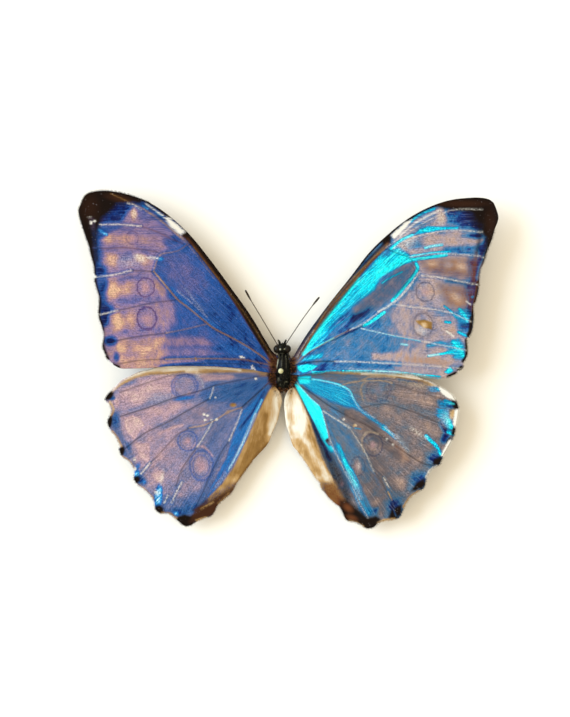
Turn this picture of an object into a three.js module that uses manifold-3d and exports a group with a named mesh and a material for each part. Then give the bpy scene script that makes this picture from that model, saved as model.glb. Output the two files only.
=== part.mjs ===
// A large blue butterfly, pinned and dried with its wings spread flat, lying on its underside.
// Millimetres. +Z is up, +Y towards the head, +X towards the butterfly's right wings.
// The origin is on the resting surface, under the middle of the whole specimen.
import * as THREE from "three";
import { mergeVertices } from "three/addons/utils/BufferGeometryUtils.js";
import Module from "manifold-3d";

const wasm = await Module();
wasm.setup();

// Driving dimensions
const SPAN = 120; // across both forewings, tip to tip
const WING_THICKNESS = 0.3; // at the outer margin
const ROOT_THICKENING = 0.3; // how much more there is at the root, where the veins run together
const FOREWING_ROOT_HEIGHT = 5;
const HINDWING_ROOT_HEIGHT = 4.1;
const WING_RISE = 4.8; // how much higher a wing's far end would come than its root
const RISE_LENGTH = 24; // the distance out over which most of that rise happens
const THORAX_HALF_WIDTH = 2.4;
const THORAX_HALF_HEIGHT = 3.5;
const THORAX_HEIGHT = 3.3; // its axis above the resting surface
const HEAD_HEIGHT = 3.9;
const EYE_RADIUS = 1.15;
const ANTENNA_RADIUS = 0.17;
const CLUB_RADIUS = 0.3;
const PIN_RADIUS = 0.25;
const PIN_HEAD_RADIUS = 0.75;
const PIN_HEAD_HEIGHT = 8.4;
const WING_GAP = 0.3; // left round each wing root in its socket
const SMALL_GAP = 0.2; // left round the pin and the antennae

// Places are read from above on a drawing grid, x to the right and y down, and turned into
// millimetres here. The two forewing tips are TIP_TO_TIP grid steps apart.
const TIP_TO_TIP = 418.5;
const GRID = SPAN / TIP_TO_TIP;
const MIDDLE = { x: 288.45, y: 359.7 };
const BODY_AXIS = 283.5;
const toX = (x) => (x - MIDDLE.x) * GRID;
const toY = (y) => (MIDDLE.y - y) * GRID;
const at = ([x, y]) => new THREE.Vector2(toX(x), toY(y));

// Distance of a point from the body's axis, measured out along the wing
const outFromBody = (p) => Math.abs(p.x - toX(BODY_AXIS));

// Outline stretches
// A smooth stretch is a spline through its few points, cut into equal steps.
function smooth(points, steps) {
  return new THREE.SplineCurve(points.map(at)).getSpacedPoints(steps);
}

// A scalloped stretch has a point at each vein's end, [x, y, depth of the hollow after it].
// The hollows bend towards middle.
function scallops(tips, middle) {
  const HOLLOW_STEPS = 5;
  const made = [];
  for (let i = 0; i + 1 < tips.length; i++) {
    const [x, y, depth] = tips[i];
    const from = at([x, y]);
    const to = at(tips[i + 1]);
    const inward = new THREE.Vector2(from.y - to.y, to.x - from.x).normalize();
    const deep = depth * GRID * Math.sign(inward.dot(middle.clone().sub(from)));
    for (let s = 0; s < HOLLOW_STEPS; s++) {
      const t = s / HOLLOW_STEPS;
      const sag = deep * Math.sin(Math.PI * t) ** 0.75;
      made.push(from.clone().lerp(to, t).addScaledVector(inward, sag));
    }
  }
  return made;
}

// Each wing's outline runs from its root along the front edge, round the outer margin and back.
// Its middle is a point that sees the whole outline, and the wing's rings shrink towards it.

function forewingLeftOutline() {
  const middle = at([175, 290]);
  const FRONT = [
    [275.5, 355.5], [265, 339.5], [250, 314.5], [230, 286.5], [210, 259.5], [190, 235],
    [170, 216.5], [150, 203], [130, 195.5], [110, 191.5],
  ];
  const TIP = [
    [110, 191.5], [95, 192], [86, 195.5], [81.5, 204], [79.2, 212], [82, 224], [88, 241],
    [91.5, 255], [94.5, 266], [95.3, 274.5],
  ];
  const NICK = [98.5, 277];
  const MARGIN = [
    [95.2, 279], [97.5, 290], [99.7, 302], [99.2, 316], [102, 325], [104.5, 336],
    [103.3, 346], [106.5, 356], [113.5, 364.5], [122, 368.4],
  ];
  const INNER = [
    [122, 368.4], [150, 368], [180, 366], [210, 366.3], [251.3, 369.7], [270, 371.5],
  ];
  const ROOT = [[278, 370], [278, 356.5]];
  const outline = [
    ...smooth(FRONT, 20), ...smooth(TIP, 14).slice(1), at(NICK), ...smooth(MARGIN, 14),
    ...smooth(INNER, 12).slice(1), ...ROOT.map(at),
  ];
  return { outline, middle };
}

function forewingRightOutline() {
  const middle = at([402, 292]);
  const FRONT = [
    [293, 357], [300, 345], [309.7, 330], [330, 302.6], [350, 277.5], [369.8, 251.9],
    [390, 232.7], [409.3, 217.9], [430, 206.9], [450, 200.4], [470, 198.1],
  ];
  const TIP = [
    [470, 198.1], [486.9, 199.2], [493.8, 204.6], [497.7, 215.8], [496.9, 222.7],
    [492.3, 234.2], [487.7, 247.3], [483.5, 261.9], [478.8, 275],
  ];
  const MARGIN = [
    [478.8, 275], [477.7, 290], [472.7, 305.4], [472.9, 319.2], [471.2, 331.5],
    [466.2, 339.2], [466.9, 349.2], [465, 360], [461.9, 366.5], [455.4, 373.5], [443.8, 377.5],
  ];
  const INNER = [
    [443.8, 377.5], [430, 376.9], [413.1, 373.8], [390, 373.1], [359.5, 371.4],
    [329.7, 371.4], [299, 374.5],
  ];
  const ROOT = [[288.9, 371.5], [288.9, 358.5]];
  const outline = [
    ...smooth(FRONT, 20), ...smooth(TIP, 14).slice(1), ...smooth(MARGIN, 14).slice(1),
    ...smooth(INNER, 12).slice(1), ...ROOT.map(at),
  ];
  return { outline, middle };
}

function hindwingLeftOutline() {
  const middle = at([192, 437]);
  const FRONT = [
    [273, 372.6], [255, 366.5], [235, 359.5], [210, 356.5], [185, 358.5], [165, 363.5],
    [150, 369], [135, 373.5], [121, 381], [111, 391], [105.5, 400],
  ];
  const MARGIN = [
    [105.5, 400, 4], [108.2, 422.5, 2.6], [119.8, 452, 4.4], [134.3, 479.5, 3.3],
    [156.2, 510, 3.8], [185, 526, 1.2], [210, 517.5],
  ];
  const INNER = [
    [210, 517.5], [217, 505], [231, 493], [248, 467], [266, 448], [275, 428],
    [280.5, 408], [281.5, 397], [279, 391.5], [274.5, 387], [272, 383.5],
  ];
  const ROOT = [[277.2, 382.5], [277.2, 373.6]];
  const outline = [
    ...smooth(FRONT, 17), ...scallops(MARGIN, middle).slice(1), ...smooth(INNER, 19),
    ...ROOT.map(at),
  ];
  return { outline, middle };
}

function hindwingRightOutline() {
  const middle = at([374, 440]);
  const FRONT = [
    [293.8, 374.8], [312, 369.5], [335, 363], [360, 361], [385, 363.5], [405, 370],
    [425.4, 379.6], [440, 386.9], [450.8, 394], [457.6, 405],
  ];
  const MARGIN = [
    [457.6, 405, 1], [454.9, 429.5, 2.2], [440.8, 461, 3], [423.6, 487.5, 3.6],
    [399, 517.6, 2.6], [370, 528.3, 0.8], [345.5, 518.5],
  ];
  const INNER = [
    [345.5, 518.5], [336, 504], [324.2, 491.7], [315, 477], [300, 455], [291, 440],
    [286.5, 426], [284.3, 410], [285, 397], [289, 390.5], [293.5, 385.5],
  ];
  const ROOT = [[289.8, 384], [289.8, 375.6]];
  const outline = [
    ...smooth(FRONT, 17), ...scallops(MARGIN, middle).slice(1), ...smooth(INNER, 19),
    ...ROOT.map(at),
  ];
  return { outline, middle };
}

// Heights of the wings' middle surfaces over the resting surface
const rise = (out) => WING_RISE * (1 - Math.exp(-Math.max(0, out - THORAX_HALF_WIDTH) / RISE_LENGTH));

function forewingHeight(p) {
  const FRONT_EDGE_LIFT = 0.01; // for each millimetre forward
  return FOREWING_ROOT_HEIGHT + rise(outFromBody(p)) + FRONT_EDGE_LIFT * Math.max(0, p.y);
}

function hindwingHeight(p) {
  const SHARE_OF_RISE = 0.9;
  const REAR_DROOP = 0.03; // for each millimetre behind the body
  const FOLD_DEPTH = 1.4; // the inner margins turn down beside the missing abdomen
  const FOLD_WIDTH = 3;
  const BODY_END = toY(389);
  const out = outFromBody(p);
  const behind = Math.max(0, BODY_END - p.y);
  const fold = FOLD_DEPTH * Math.exp(-out / FOLD_WIDTH) * Math.min(1, behind / 5);
  return HINDWING_ROOT_HEIGHT + SHARE_OF_RISE * rise(out) - REAR_DROOP * behind - fold;
}

function thickness(p) {
  const THICK_LENGTH = 12;
  return WING_THICKNESS + ROOT_THICKENING * Math.exp(-outFromBody(p) / THICK_LENGTH);
}

// Solids
// A closed mesh from its vertices and triangles, as a solid that can be joined and cut.
function solidFrom(vertices, triangles) {
  const mesh = new wasm.Mesh({
    numProp: 3,
    vertProperties: new Float32Array(vertices.flatMap((v) => [v.x, v.y, v.z])),
    triVerts: new Uint32Array(triangles.flat()),
  });
  return new wasm.Manifold(mesh);
}

function solidOfGeometry(geometry) {
  geometry.deleteAttribute("normal");
  geometry.deleteAttribute("uv");
  const merged = mergeVertices(geometry);
  const mesh = new wasm.Mesh({
    numProp: 3,
    vertProperties: merged.attributes.position.array,
    triVerts: new Uint32Array(merged.index.array),
  });
  return new wasm.Manifold(mesh);
}

function geometryOf(solid) {
  const { vertProperties, triVerts } = solid.getMesh();
  const geometry = new THREE.BufferGeometry();
  geometry.setAttribute("position", new THREE.BufferAttribute(vertProperties, 3));
  geometry.setIndex(new THREE.BufferAttribute(triVerts, 1));
  const flat = geometry.toNonIndexed();
  flat.computeVertexNormals();
  return flat;
}

// A closed skin over rings that all have the same number of points and turn the same way.
// Each end closes on a point at the ring's middle, pushed outwards by nose.
function skinOver(rings, nose = 0) {
  const middles = rings.map((ring) => {
    const sum = ring.reduce((total, v) => total.add(v), new THREE.Vector3());
    return sum.divideScalar(ring.length);
  });
  const sides = rings[0].length;
  const last = rings.length - 1;
  const startPush = middles[0].clone().sub(middles[1]).setLength(nose);
  const endPush = middles[last].clone().sub(middles[last - 1]).setLength(nose);
  const vertices = [...rings.flat(), middles[0].add(startPush), middles[last].add(endPush)];
  const [start, end] = [vertices.length - 2, vertices.length - 1];
  const triangles = [];
  for (let i = 0; i < sides; i++) {
    const next = (i + 1) % sides;
    for (let r = 0; r < last; r++) {
      const [a, b] = [r * sides + i, r * sides + next];
      const [c, d] = [a + sides, b + sides];
      triangles.push([a, b, d], [a, d, c]);
    }
    triangles.push([start, next, i], [end, last * sides + i, last * sides + next]);
  }
  return solidFrom(vertices, triangles);
}

// A round form through stations { x, y, z, wide, high }, each an ellipse square to the y axis,
// from the front of the butterfly backwards.
function roundForm(stations, sides, nose) {
  const rings = stations.map((s) => {
    const ring = [];
    for (let i = 0; i < sides; i++) {
      const a = (2 * Math.PI * i) / sides;
      ring.push(new THREE.Vector3(s.x + s.wide * Math.cos(a), s.y, s.z + s.high * Math.sin(a)));
    }
    return ring;
  });
  return skinOver(rings, nose);
}

// A tapering limb through points, with the radius given at each of them.
function limb(points, radii, sides) {
  const line = points.map((p) => new THREE.Vector3(...p));
  const rings = line.map((p, k) => {
    const before = line[Math.max(0, k - 1)];
    const after = line[Math.min(line.length - 1, k + 1)];
    const along = after.clone().sub(before).normalize();
    const upright = Math.abs(along.z) > 0.9;
    const reference = upright ? new THREE.Vector3(0, 1, 0) : new THREE.Vector3(0, 0, 1);
    const side = new THREE.Vector3().crossVectors(reference, along).normalize();
    const up = new THREE.Vector3().crossVectors(along, side);
    const ring = [];
    for (let i = 0; i < sides; i++) {
      const a = (2 * Math.PI * i) / sides;
      const v = p.clone().addScaledVector(side, radii[k] * Math.cos(a));
      ring.push(v.addScaledVector(up, radii[k] * Math.sin(a)));
    }
    return ring;
  });
  return skinOver(rings);
}

// Wings
// A wing is a thin sheet that follows its height. Its upper and lower faces are drawn as rings
// that shrink from the outline to the wing's middle, and a narrow edge joins the two outlines.
function wing({ outline, middle }, height) {
  const RINGS = [1, 0.82, 0.6, 0.3];
  const vertices = [];
  const triangles = [];
  const count = outline.length;
  const starts = [1, -1].map((face) => {
    const start = vertices.length;
    for (const share of RINGS) {
      for (const o of outline) {
        const p = middle.clone().lerp(o, share);
        vertices.push(new THREE.Vector3(p.x, p.y, height(p) + (face * thickness(p)) / 2));
      }
    }
    const z = height(middle) + (face * thickness(middle)) / 2;
    vertices.push(new THREE.Vector3(middle.x, middle.y, z));
    return start;
  });
  const [top, bottom] = starts;
  const centre = RINGS.length * count;
  for (let i = 0; i < count; i++) {
    const next = (i + 1) % count;
    for (let r = 0; r + 1 < RINGS.length; r++) {
      const [a, b] = [r * count + i, r * count + next];
      const [c, d] = [a + count, b + count];
      triangles.push([top + a, top + b, top + d], [top + a, top + d, top + c]);
      triangles.push([bottom + a, bottom + d, bottom + b], [bottom + a, bottom + c, bottom + d]);
    }
    const inner = (RINGS.length - 1) * count;
    triangles.push([top + inner + i, top + inner + next, top + centre]);
    triangles.push([bottom + inner + next, bottom + inner + i, bottom + centre]);
    triangles.push([top + i, bottom + i, bottom + next], [top + i, bottom + next, top + next]);
  }
  if (THREE.ShapeUtils.isClockWise(outline)) triangles.forEach((t) => t.reverse());
  return solidFrom(vertices, triangles);
}

// Body
const STATIONS = [
  { y: 352.6, wide: 0.34, high: 0.3, lift: 0.35 },
  { y: 355, wide: 0.7, high: 0.62, lift: 0.2 },
  { y: 359, wide: 0.92, high: 0.88, lift: 0.05 },
  { y: 364, wide: 1, high: 0.99, lift: 0 },
  { y: 370, wide: 1, high: 1, lift: 0 },
  { y: 376, wide: 0.97, high: 0.95, lift: -0.1 },
  { y: 381, wide: 0.88, high: 0.84, lift: -0.15 },
  { y: 385, wide: 0.72, high: 0.66, lift: -0.1 },
  { y: 388, wide: 0.42, high: 0.36, lift: -0.05 },
];

function thorax() {
  const stations = STATIONS.map((s) => ({
    x: toX(BODY_AXIS),
    y: toY(s.y),
    z: THORAX_HEIGHT + s.lift,
    wide: THORAX_HALF_WIDTH * s.wide,
    high: THORAX_HALF_HEIGHT * s.high,
  }));
  return roundForm(stations, 16, 0.2);
}

const HEAD = { x: toX(282.2), y: toY(349) };

function ball(x, y, z, radius, flat = 1) {
  const geometry = new THREE.SphereGeometry(radius, 12, 8);
  geometry.rotateX(Math.PI / 2);
  geometry.scale(1, flat, 1);
  geometry.translate(x, y, z);
  return solidOfGeometry(geometry);
}

function head() {
  const EYE_OUT = 1.39;
  const skull = [
    { y: 343.4, wide: 0.95, high: 0.8 },
    { y: 345, wide: 1.4, high: 1.25 },
    { y: 348, wide: 1.62, high: 1.5 },
    { y: 351, wide: 1.5, high: 1.4 },
    { y: 353.6, wide: 0.75, high: 0.8 },
  ].map((s) => ({ ...s, x: HEAD.x, y: toY(s.y), z: HEAD_HEIGHT }));
  let made = roundForm(skull, 12, 0.15);
  for (const side of [-1, 1]) {
    made = made.add(ball(HEAD.x + side * EYE_OUT, HEAD.y, HEAD_HEIGHT + 0.2, EYE_RADIUS, 1.05));
    const palp = [
      [HEAD.x + side * 0.45, 3.9, HEAD_HEIGHT - 0.6],
      [HEAD.x + side * 0.75, 4.9, HEAD_HEIGHT - 0.2],
      [HEAD.x + side * 0.95, 5.45, HEAD_HEIGHT + 0.35],
      [HEAD.x + side * 1.02, 5.75, HEAD_HEIGHT + 0.75],
    ];
    made = made.add(limb(palp, [0.4, 0.42, 0.3, 0.1], 6));
  }
  return made;
}

// A folded leg, from the underside of the thorax out to its knee, then down to a foot that lies
// on the surface. The middle legs reach forwards and the hind legs back, all under the wings.
function walkingLeg(side, { root, knee, ankle, claw }) {
  const FOOT_HEIGHT = 0.14;
  const axis = toX(BODY_AXIS);
  const points = [
    [axis + side * 1.5, root, 1.3],
    [axis + side * knee[0], knee[1], 2.2],
    [axis + side * (knee[0] + 0.3), knee[1] + (ankle[1] - knee[1]) * 0.3, 1.8],
    [axis + side * ankle[0], ankle[1], 0.5],
    [axis + side * (ankle[0] * 0.75 + claw[0] * 0.25), ankle[1] * 0.75 + claw[1] * 0.25, FOOT_HEIGHT],
    [axis + side * claw[0], claw[1], FOOT_HEIGHT],
  ];
  return limb(points, [0.45, 0.36, 0.28, 0.24, 0.22, 0.2], 6);
}

// The forelegs are tiny and lie folded under the head.
function foreleg(side) {
  const axis = toX(BODY_AXIS);
  const points = [
    [axis + side * 0.9, 0.6, 1.6],
    [axis + side * 1.3, 1.5, 1.7],
    [axis + side * 1.1, 2.7, 1.9],
    [axis + side * 0.7, 3.4, 2.2],
  ];
  return limb(points, [0.4, 0.32, 0.24, 0.16], 6);
}

function legs() {
  const MIDDLE_LEG = { root: -1.4, knee: [4.3, -1.9], ankle: [5, 0.1], claw: [4.5, 2.3] };
  const HIND_LEG = { root: -4.6, knee: [3.9, -4.9], ankle: [4.5, -7.2], claw: [3.3, -9.9] };
  return [-1, 1].flatMap((side) => [
    walkingLeg(side, MIDDLE_LEG),
    walkingLeg(side, HIND_LEG),
    foreleg(side),
  ]);
}

function boxBetween(low, high) {
  const size = high.map((v, i) => v - low[i]);
  const geometry = new THREE.BoxGeometry(...size);
  geometry.translate(...low.map((v, i) => v + size[i] / 2));
  return solidOfGeometry(geometry);
}

// The slot in the thorax that a wing's root goes into, from depth to clear of its side
function socket(side, depth, front, rear, height) {
  const [near, far] = [depth - WING_GAP, THORAX_HALF_WIDTH + 1];
  const axis = toX(BODY_AXIS);
  const xs = [axis + side * near, axis + side * far].sort((a, b) => a - b);
  const half = (WING_THICKNESS + ROOT_THICKENING) / 2 + WING_GAP;
  return boxBetween(
    [xs[0], toY(rear) - WING_GAP, height - half],
    [xs[1], toY(front) + WING_GAP, height + half],
  );
}

const PIN = { x: toX(280.8), y: toY(371) };
const ANTENNA_BASE_HEIGHT = HEAD_HEIGHT + 0.75;
const ANTENNAE = {
  left: [[277.4, 344.6], [272.5, 336.5], [261, 317], [251, 300.5], [245.2, 290]],
  right: [[285.8, 344.4], [291.5, 335.5], [303, 318.5], [313, 305], [319.5, 297]],
};

function antennaLine(side) {
  const TIP_RISE = 3.2;
  const flat = ANTENNAE[side].map(at);
  const whole = flat[0].distanceTo(flat[flat.length - 1]);
  return flat.map((p) => {
    const share = p.distanceTo(flat[0]) / whole;
    return new THREE.Vector3(p.x, p.y, ANTENNA_BASE_HEIGHT + TIP_RISE * share ** 0.8);
  });
}

function pinShaft(radius, bottom, top) {
  const geometry = new THREE.CylinderGeometry(radius, radius, top - bottom, 12);
  geometry.rotateX(Math.PI / 2);
  geometry.translate(PIN.x, PIN.y, (top + bottom) / 2);
  return solidOfGeometry(geometry);
}

function body() {
  const leftSide = -1;
  const rightSide = 1;
  let made = thorax().add(head());
  for (const l of legs()) made = made.add(l);
  const cuts = [
    socket(leftSide, 1.55, 356.5, 370, FOREWING_ROOT_HEIGHT),
    socket(rightSide, 1.55, 358.5, 371.5, FOREWING_ROOT_HEIGHT),
    socket(leftSide, 1.8, 373.6, 382.5, HINDWING_ROOT_HEIGHT),
    socket(rightSide, 1.8, 375.6, 384, HINDWING_ROOT_HEIGHT),
    pinShaft(PIN_RADIUS + SMALL_GAP, -1, THORAX_HEIGHT + THORAX_HALF_HEIGHT + 1),
    boxBetween([-20, -20, -5], [20, 20, 0]),
  ];
  for (const side of ["left", "right"]) {
    const [base, next] = antennaLine(side);
    const inward = base.clone().sub(next).setLength(SMALL_GAP);
    const ends = [base.clone().add(inward), base.clone().addScaledVector(inward, -6)];
    const pit = ANTENNA_RADIUS * 1.2 + SMALL_GAP;
    cuts.push(limb(ends.map((p) => p.toArray()), [pit, pit], 8));
  }
  for (const c of cuts) made = made.subtract(c);
  return made;
}

function antenna(side) {
  const line = new THREE.CatmullRomCurve3(antennaLine(side));
  const STEPS = 14;
  const CLUB_START = 0.8;
  const points = line.getSpacedPoints(STEPS).map((p) => p.toArray());
  const radii = points.map((_, k) => {
    const share = k / STEPS;
    if (k === STEPS) return ANTENNA_RADIUS * 0.6;
    if (share < CLUB_START) return ANTENNA_RADIUS;
    const bulge = Math.sin((Math.PI * (share - CLUB_START)) / (1 - CLUB_START) / 1.3);
    return ANTENNA_RADIUS + (CLUB_RADIUS - ANTENNA_RADIUS) * bulge;
  });
  return limb(points, radii, 8);
}

function pin() {
  const top = ball(PIN.x, PIN.y, PIN_HEAD_HEIGHT, PIN_HEAD_RADIUS);
  return pinShaft(PIN_RADIUS, 0, PIN_HEAD_HEIGHT).add(top);
}

// The specimen
const specimen = new THREE.Group();
const WING_BLUE = new THREE.MeshStandardMaterial({ color: 0x2f62b5, roughness: 0.38, metalness: 0.5 });
const WING_BRIGHT = new THREE.MeshStandardMaterial({ color: 0x1f93cf, roughness: 0.34, metalness: 0.5 });
const BODY_BLACK = new THREE.MeshStandardMaterial({ color: 0x14110f, roughness: 0.8, metalness: 0 });
const HORN_BROWN = new THREE.MeshStandardMaterial({ color: 0x2a1d14, roughness: 0.5, metalness: 0 });
const PIN_CREAM = new THREE.MeshStandardMaterial({ color: 0xd9d3a4, roughness: 0.3, metalness: 0.2 });

function add(name, solid, material) {
  const mesh = new THREE.Mesh(geometryOf(solid), material);
  mesh.name = name;
  specimen.add(mesh);
}

add("body", body(), BODY_BLACK);
add("forewing_left", wing(forewingLeftOutline(), forewingHeight), WING_BLUE);
add("forewing_right", wing(forewingRightOutline(), forewingHeight), WING_BRIGHT);
add("hindwing_left", wing(hindwingLeftOutline(), hindwingHeight), WING_BLUE);
add("hindwing_right", wing(hindwingRightOutline(), hindwingHeight), WING_BRIGHT);
add("antenna_left", antenna("left"), HORN_BROWN);
add("antenna_right", antenna("right"), HORN_BROWN);
add("pin", pin(), PIN_CREAM);

export default specimen;
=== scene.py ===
import math

import bpy
import numpy as np
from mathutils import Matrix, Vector, geometry, kdtree


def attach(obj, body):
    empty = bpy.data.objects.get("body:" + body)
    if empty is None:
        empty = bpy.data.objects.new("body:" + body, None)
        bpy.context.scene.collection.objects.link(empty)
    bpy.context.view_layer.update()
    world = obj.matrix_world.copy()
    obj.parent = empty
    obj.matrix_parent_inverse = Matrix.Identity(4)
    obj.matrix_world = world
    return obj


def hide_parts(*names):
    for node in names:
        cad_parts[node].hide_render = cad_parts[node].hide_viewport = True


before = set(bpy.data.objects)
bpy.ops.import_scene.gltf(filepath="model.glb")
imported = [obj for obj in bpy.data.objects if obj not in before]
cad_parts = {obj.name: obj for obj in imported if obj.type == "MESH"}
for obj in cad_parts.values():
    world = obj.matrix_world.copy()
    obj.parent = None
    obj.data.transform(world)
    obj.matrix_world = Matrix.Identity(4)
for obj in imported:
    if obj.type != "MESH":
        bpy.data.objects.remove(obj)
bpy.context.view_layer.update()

# Camera, floor and light
# A long lens looks straight down. The floor is plain and pale. A soft light from the upper left
# throws the shadow to the lower right, and an even pale surround fills it.
GRID = 120 / 418.5  # millimetres to a step of the drawing grid, which is seen from above, y down
MIDDLE = (288.45, 359.7)  # the origin on that grid
FRAME = (570, 717)  # the picture's size on that grid
WING_LEVEL = 7  # millimetres above the floor, where the frame's height is exact
LENS = 200
SENSOR = 36
MM = 0.001

camera_data = bpy.data.cameras.new("camera")
camera_data.lens = LENS
camera_data.sensor_width = SENSOR
camera = bpy.data.objects.new("camera", camera_data)
camera.location = (
    (FRAME[0] / 2 - MIDDLE[0]) * GRID * MM,
    (MIDDLE[1] - FRAME[1] / 2) * GRID * MM,
    (WING_LEVEL + FRAME[1] * GRID * LENS / SENSOR) * MM,
)
bpy.context.scene.collection.objects.link(camera)
bpy.context.scene.camera = camera
bpy.context.scene.view_settings.view_transform = "Standard"

floor_mesh = bpy.data.meshes.new("floor")
FLOOR_REACH = 3  # metres from the middle to each side
corners = [(x * FLOOR_REACH, y * FLOOR_REACH, 0) for x, y in ((-1, -1), (1, -1), (1, 1), (-1, 1))]
floor_mesh.from_pydata(corners, [], [(0, 1, 2, 3)])
floor = bpy.data.objects.new("floor", floor_mesh)
bpy.context.scene.collection.objects.link(floor)
floor_paint = bpy.data.materials.new("pale_floor")
floor_paint.use_nodes = True
floor_shader = floor_paint.node_tree.nodes["Principled BSDF"]
floor_shader.inputs["Base Color"].default_value = (0.85, 0.85, 0.85, 1)
floor_shader.inputs["Roughness"].default_value = 0.9
floor_mesh.materials.append(floor_paint)

sun_data = bpy.data.lights.new("sun", "SUN")
sun_data.energy = 3.5
sun_data.angle = math.radians(52)
sun_data.color = (0.76, 0.92, 1.06)
sun = bpy.data.objects.new("sun", sun_data)
SUN_RAYS = Vector((11.5, -3.6, -7.4))  # the way they go
sun.rotation_euler = SUN_RAYS.to_track_quat("-Z", "Y").to_euler()
bpy.context.scene.collection.objects.link(sun)

# What lights the scene is a little warm, and what the camera sees of it is white.
surround = bpy.data.worlds.new("surround")
surround.use_nodes = True
sky = surround.node_tree
sky.nodes.clear()
path = sky.nodes.new("ShaderNodeLightPath")
seen = sky.nodes.new("ShaderNodeBackground")
seen.inputs["Color"].default_value = (1, 1, 1, 1)
seen.inputs["Strength"].default_value = 1.05
fill = sky.nodes.new("ShaderNodeBackground")
fill.inputs["Color"].default_value = (1, 0.87, 0.64, 1)
fill.inputs["Strength"].default_value = 1.16
either = sky.nodes.new("ShaderNodeMixShader")
out = sky.nodes.new("ShaderNodeOutputWorld")
sky.links.new(path.outputs["Is Camera Ray"], either.inputs[0])
sky.links.new(fill.outputs[0], either.inputs[1])
sky.links.new(seen.outputs[0], either.inputs[2])
sky.links.new(either.outputs[0], out.inputs["Surface"])
bpy.context.scene.world = surround


# Forewings
# Each is one dry sheet of scales on a stiff membrane, with raised veins. It is as thin as paper
# at the margin and grows into the thorax at its root. The upper face is blue to violet with
# tan patches; the lower face is brown with eyespots.
BODY_AXIS = 283.5
SHEET = 0.14  # millimetres thick at the margin
ROOT_SHEET = 0.2  # how much thicker it is at the root
VEIN_HALF_WIDTH = 0.2
VEIN_RELIEF = 0.09
VEIN_PAINT = 1.1  # grid steps from a vein's middle to where its colour ends
VEIN_WEAR = 0.45  # how much of a pale vein is worn off in places
# Painted shade: the blue is deeper beside each raised vein that isn't dark.
VEIN_EDGE = 0.5  # how much deeper the blue is beside a vein that isn't dark
VEIN_EDGE_TONE = 0.02
VEIN_EDGE_AWAY = 1.6  # grid steps from the vein to the middle of that deeper blue
VEIN_EDGE_HALF = 1.3
MESH_STEP = 0.3
FRINGE_STEP = 0.08
FRINGE_LENGTH = (0.15, 0.5)
FRINGE_WIDTH = 0.08
THORAX_HALF_WIDTH = 2.4
FOREWING_LEVEL = 5  # at the root, above the surface
FRONT_LIFT = 0.01  # how much higher the front of the forewing is, to each millimetre forwards
WING_RISE = 4.8  # how much higher a tip is than the root, at most
RISE_LENGTH = 24


def to_mm(points):
    points = np.asarray(points, float)
    return np.stack([(points[:, 0] - MIDDLE[0]) * GRID, (MIDDLE[1] - points[:, 1]) * GRID], 1)


def smooth_line(points, step):
    """Points about step apart along a spline through the given ones."""
    p = np.asarray(points, float)
    ends = np.vstack([2 * p[0] - p[1], p, 2 * p[-1] - p[-2]])
    t = np.linspace(0, 1, 16, endpoint=False)[:, None]
    a, b, c, d = ends[:-3], ends[1:-2], ends[2:-1], ends[3:]
    spans = [
        0.5 * (2 * q + (r - o) * t + (2 * o - 5 * q + 4 * r - s) * t**2 + (3 * q - o - 3 * r + s) * t**3)
        for o, q, r, s in zip(a, b, c, d)
    ]
    line = np.vstack(spans + [p[-1:]])
    along = np.concatenate([[0], np.cumsum(np.linalg.norm(np.diff(line, axis=0), axis=1))])
    count = max(2, int(round(along[-1] / step)) + 1)
    at = np.linspace(0, along[-1], count)
    return np.stack([np.interp(at, along, line[:, k]) for k in range(line.shape[1])], 1)


def nearest(points, targets):
    """For each point, the distance to the nearest target and that target's number."""
    tree = kdtree.KDTree(len(targets))
    for i, target in enumerate(targets):
        tree.insert((target[0], target[1], 0), i)
    tree.balance()
    found = [tree.find((p[0], p[1], 0)) for p in points]
    return np.array([f[2] for f in found]), np.array([f[1] for f in found])


def inside(points, outline):
    """Which points are inside a closed outline, by counting the edges to their right."""
    x, y = points[:, 0], points[:, 1]
    result = np.zeros(len(points), bool)
    for (ax, ay), (bx, by) in zip(outline, np.roll(outline, -1, axis=0)):
        if ay == by:
            continue
        crosses = (ay > y) != (by > y)
        result ^= crosses & (x < (bx - ax) * (y - ay) / (by - ay) + ax)
    return result


def to_segments(points, line):
    """The distance of each point from an open line."""
    best = np.full(len(points), np.inf)
    for a, b in zip(line[:-1], line[1:]):
        along = b - a
        t = np.clip(((points - a) @ along) / (along @ along + 1e-12), 0, 1)
        best = np.minimum(best, np.linalg.norm(points - a - t[:, None] * along, axis=1))
    return best


def ease(edge0, edge1, values):
    t = np.clip((values - edge0) / (edge1 - edge0), 0, 1)
    return t * t * (3 - 2 * t)


# Marks in grid steps: an area, a stroke and an oval, each a mask with a soft edge, and a strength.
def area(strength, outline, soft):
    outline = np.asarray(outline, float)

    def mask(points):
        away = to_segments(points, np.vstack([outline, outline[:1]]))
        return ease(-soft, soft, np.where(inside(points, outline), away, -away))
    return mask, strength


def stroke(strength, line, half, soft):
    line = smooth_line(line, 2) if len(line) > 2 else np.asarray(line, float)

    def mask(points):
        return 1 - ease(half - soft, half + soft, to_segments(points, line))
    return mask, strength


def oval(strength, x, y, wide, high, soft=0.9, turn=0):
    angle = math.radians(turn)

    def mask(points):
        dx, dy = points[:, 0] - x, points[:, 1] - y
        u = dx * math.cos(angle) + dy * math.sin(angle)
        v = dy * math.cos(angle) - dx * math.sin(angle)
        return 1 - ease(1 - soft, 1 + soft, np.hypot(u / wide, v / high))
    return mask, strength


# tone goes from deep blue to tan. The bright blue lies over it, with painted sheen where the lamp
# catches the scales, then dark, which rust turns brown, then gold and pale.
LAYERS = ("tone", "dark", "rust", "gold", "pale", "blue_and_painted_sheen")


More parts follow.
